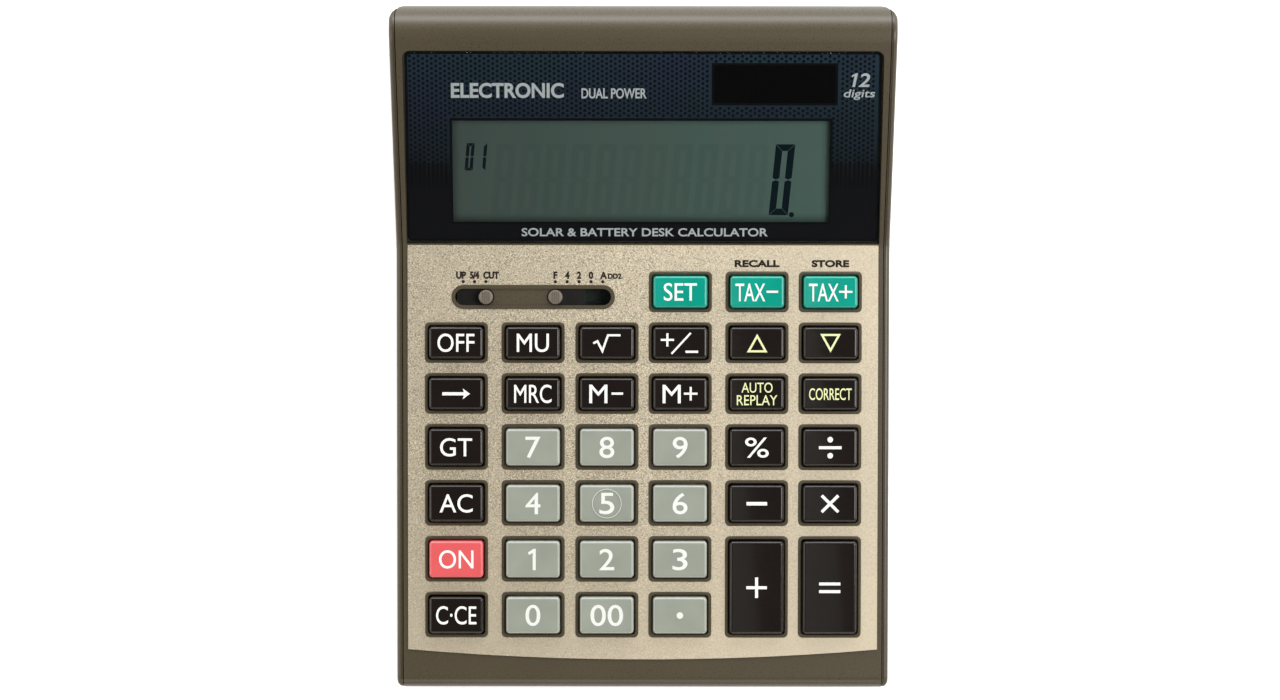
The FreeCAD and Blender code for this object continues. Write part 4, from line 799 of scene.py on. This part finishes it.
def segment(mark, letter, x, y, width, height, line):
    """One bar of a seven-segment figure whose lower left corner is at (x, y)."""
    gap, half, blunt = 0.07, line / 2, line / 4
    mid = y + height / 2
    if letter in "adg":
        level = {"a": y + height - half, "d": y + half, "g": mid}[letter]
        left, right = x + half + gap, x + width - half - gap
        points = [(left, level), (left + half, level + half), (right - half, level + half), (right, level),
                  (right - half, level - half), (left + half, level - half)]
        if letter == "a":
            points = [(left - half, level + half), (right + half, level + half), (right - half, level - half),
                      (left + half, level - half)]
        elif letter == "d":
            points = [(left - half, level - half), (left + half, level + half), (right - half, level + half),
                      (right + half, level - half)]
    else:
        side = x + half if letter in "ef" else x + width - half
        out = -half if letter in "ef" else half
        low, high = (mid + gap, y + height - gap) if letter in "bf" else (y + gap, mid - gap)
        if letter in "bf":
            points = [(side, low), (side - out, low + blunt), (side - out, high - line), (side + out, high),
                      (side + out, low + blunt)]
        else:
            points = [(side + out, low), (side - out, low + line), (side - out, high - blunt), (side, high),
                      (side + out, high - blunt)]
    mark.shape([(px + (py - y) * SLANT, py) for px, py in points])


def show_digits(dark, ghost):
    """The lit segments, a plain zero with its point and a small step counter, over the faint unlit ones."""
    x0, x1, v0, _ = DISPLAY_WINDOW
    top = DISPLAY.box("lcd_glass")[1][2]
    pitch, width, height, line = 7.24, 5.5, 20.8, 1.95
    right, base = x1 - 17.1, v0 + 1.65  # lower left corner of the last figure
    lit, unlit = Print(0.012), Print(0.006)
    for i in range(12):
        left = right - i * pitch
        for letter in SEGMENTS["8"]:
            if i or letter not in SEGMENTS["0"]:
                segment(unlit, letter, left, base, width, height, line)
    for letter in SEGMENTS["0"]:
        segment(lit, letter, right, base, width, height, line)
    lit.shape(ring(right + width + 1.05, base + 0.15, 0.75, 16))
    small_left, small_base, small_pitch = x0 + 3.3, v0 + 14.7, 3.6
    for i, figure in enumerate("01"):
        for letter in SEGMENTS[figure]:
            segment(lit, letter, small_left + small_pitch * i, small_base, 2.3, 8.0, 0.9)
    prints = (("lit_segments", lit, dark, 0.02), ("unlit_segments", unlit, ghost, 0.008))
    for name, mark, material, lift in prints:
        piece = mark.lay(name, DISPLAY, 0, 0, level=top, lift=lift)
        finished(piece, material, BODY_OF["lcd_glass"])


# ---- the rubber sheet under the keys ----

DOME_HEIGHT, DOME_HOLE = 2.3, 3.3  # a dome's height above its sheet, and the radius of the hole under it
BOSS_HOLE = 2.0  # radius of the sheet's holes for the board's bosses
# (radius, height) up a dome's outside, and then inside it from the pill out to the foot
DOME_SKIRT = ((4.35, -0.02), (4.2, 0.3), (3.7, 0.95), (3.15, 1.6), (2.85, 2.05), (2.7, 2.22),
              (2.5, DOME_HEIGHT), (1.5, DOME_HEIGHT), (1.2, 2.2))
DOME_INSIDE = ((1.6, 0.6), (1.6, 1.4), (2.0, 1.4), (2.3, 1.2), (DOME_HOLE, -0.02))


def clusters(node, lowest):
    """The middle (x, v) of each group of a node's vertices that lie at or above a level w."""
    groups = []
    for vertex in NODES[node].data.vertices:
        spot = vertex.co / MM
        if spot.dot(KEYPAD.out) < lowest:
            continue
        x, v = spot.x, spot.dot(KEYPAD.up)
        near = [g for g in groups if math.hypot(g[0][0] - x, g[0][1] - v) < 6]
        if near:
            near[0].append((x, v))
        else:
            groups.append([(x, v)])
    return [tuple((min(c) + max(c)) / 2 for c in zip(*g)) for g in groups]


def dome(name, x, v, level, points=32):
    """One hollow rubber dome, turned about its middle and standing on that level."""
    bm = bmesh.new()
    rings = [[bm.verts.new(KEYPAD.point(px, pv, level + h)) for px, pv in ring(x, v, r, points)]
             for r, h in DOME_SKIRT + DOME_INSIDE]
    top, pill = rings[len(DOME_SKIRT) - 1], rings[len(DOME_SKIRT)]
    for near, far in zip(rings, rings[1:] + rings[:1]):
        if near is not top:
            for a in range(points):
                bm.faces.new((near[a], near[a - 1], far[a - 1], far[a]))
    bm.faces.new(top)
    bm.faces.new(pill)
    bmesh.ops.recalc_face_normals(bm, faces=bm.faces)
    return add_object(name, mesh_from(bm, name))


def make_domes(material):
    """The flat rubber sheet, and on it a dome under each plunger."""
    node = "rubber_dome_sheet"
    (left, front, low), (right, back, high) = KEYPAD.box(node)
    level = high - DOME_HEIGHT
    places = clusters(node, high - 0.05)
    corners = [(v.co.x / MM, v.co.dot(KEYPAD.up) / MM) for v in NODES[node].data.vertices]
    notch_x = min(x for x, v in corners if v > back - 0.5) - 1
    notch_v = max(v for x, v in corners if x < left + 0.5) + 1
    bosses = [(x, v) for x, v in clusters("board_screws", -100) if v < (back if x > notch_x else notch_v)]
    sheet = Print(level - low)
    sheet.shape([(left, front), (right, front), (right, back), (notch_x, back), (notch_x, notch_v),
                 (left, notch_v)],
                *[ring(x, v, DOME_HOLE) for x, v in places], *[ring(x, v, BOSS_HOLE) for x, v in bosses])
    piece = sheet.lay("rubber_sheet", KEYPAD, 0, 0, level=(low + level) / 2, lift=0)
    finished(piece, material, BODY_OF[node])
    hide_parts(node)
    for key in KEYS:
        (x0, v0, _), (x1, v1, _) = KEYPAD.box(key)
        under = sorted(p for p in places if x0 < p[0] < x1 and v0 < p[1] < v1)
        for i, (x, v) in enumerate(under):
            piece = dome(f"dome{key[3:]}_{i + 1}", x, v, level)
            finished(piece, material, BODY_OF[node])
            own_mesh(piece)


# ---- the stage ----

FLOOR_Z = -0.0002  # just below the feet


def make_camera():
    """A camera straight above, a metre up, and a little to the left of the object's middle."""
    data = bpy.data.cameras.new("camera")
    data.lens = 97.9
    data.sensor_width = 36.0
    camera = add_object("camera", data)
    camera.location = (-0.83 * MM, -0.26 * MM, 1.015)
    camera.rotation_euler = (0, 0, math.radians(0.06))
    bpy.context.scene.camera = camera


def make_light(name, place, size, power, aim=(0, 0, 0.01), colour=(1, 1, 1)):
    data = bpy.data.lights.new(name, "AREA")
    data.shape = "RECTANGLE"
    data.size, data.size_y = size
    data.energy = power
    data.color = colour
    light = add_object(name, data)
    light.location = place
    light.rotation_euler = (Vector(aim) - Vector(place)).to_track_quat("-Z", "Y").to_euler()


def make_floor():
    mesh = bpy.data.meshes.new("floor")
    mesh.from_pydata([(x, y, FLOOR_Z) for x, y in rectangle(0, 0, 6, 6)], [], [(0, 1, 2, 3)])
    floor = add_object("floor", mesh)
    s = Surface("floor", roughness=0.8)
    s.put("Base Color", s.mix(s.span(s.noise(60.0), 0.3, 0.7), (0.90, 0.90, 0.90), (0.93, 0.93, 0.93)))
    s.put("Emission Color", (1.0, 1.0, 1.0))
    s.put("Emission Strength", 0.5)
    mesh.materials.append(s.material)


def make_sky(overhead, horizon, behind):
    """Plain light from all round: dim overhead, so that flat glossy faces stay dark, and more behind."""
    world = bpy.data.worlds.new("sky")
    world.use_nodes = True
    bpy.context.scene.world = world
    tree = world.node_tree
    place = tree.nodes.new("ShaderNodeTexCoord")
    split = tree.nodes.new("ShaderNodeSeparateXYZ")
    tree.links.new(place.outputs["Generated"], split.inputs[0])
    parts = []
    spans = (("Z", 0.45, 0.92, horizon, overhead), ("Y", 0.35, 0.90, 0.0, behind))
    for axis, low, high, start, end in spans:
        span = tree.nodes.new("ShaderNodeMapRange")
        tree.links.new(split.outputs[axis], span.inputs["Value"])
        for key, value in (("From Min", low), ("From Max", high), ("To Min", start), ("To Max", end)):
            span.inputs[key].default_value = value
        parts.append(span.outputs[0])
    total = tree.nodes.new("ShaderNodeMath")
    for socket, part in zip(total.inputs, parts):
        tree.links.new(part, socket)
    tree.links.new(total.outputs[0], tree.nodes["Background"].inputs["Strength"])
    tree.nodes["Background"].inputs["Color"].default_value = (1, 1, 1, 1)


def make_stage():
    make_floor()
    make_sky(0.05, 0.55, 1.3)
    make_light("back_light", (0.10, 1.25, 0.60), (2.0, 0.5), 14.0)
    make_light("right_light", (0.66, 0.05, 0.95), (0.5, 0.8), 7.8)
    make_light("left_light", (-0.90, 0.00, 0.60), (0.5, 1.2), 2.4, colour=(1.0, 0.95, 0.87))
    # A dim panel that the right-hand keys' dished tops mirror on their left sides.
    make_light("overhead_light", (0.285, -0.22, 1.08), (0.34, 0.36), 0.125, aim=(0, -0.05, 0.01))
    make_light("front_light", (0.0, -1.0, 0.70), (1.4, 0.5), 3.4, colour=(1.0, 0.93, 0.80))
    make_camera()
    bpy.context.scene.view_settings.view_transform = "Standard"


def main():
    materials = make_materials()
    dress_nodes(materials)
    white, yellow = ink("legend_white", (0.87, 0.88, 0.85)), ink("legend_yellow", (0.74, 0.80, 0.42))
    brown_print = ink("plate_ink", (0.016, 0.011, 0.006), 0.6, 0.2)
    print_legends(white, yellow, ink("legend_soft", (0.76, 0.78, 0.74)))
    print_plate(brown_print)
    fade_high = DISPLAY.point(0, DISPLAY_WINDOW[2] + 19.7, 0).y
    fade_low = DISPLAY.point(0, DISPLAY_WINDOW[2] + 11.7, 0).y
    top = DISPLAY.point(0, DISPLAY.box("display_lens")[1][1], 0).y
    backing = lens_backing(fade_low, fade_high, top)
    dark = ink("lens_dark", (0.0018, 0.0022, 0.0036), specular=0.05)
    print_lens(backing, dark, ink("lens_white", (0.84, 0.87, 0.90)))
    segment_dark = ink("segment_dark", (0.0010, 0.0110, 0.0175), specular=0.02)
    show_digits(segment_dark, display_face("display_ghost", 0.92))
    make_domes(materials["dome_rubber"])
    make_stage()


main()
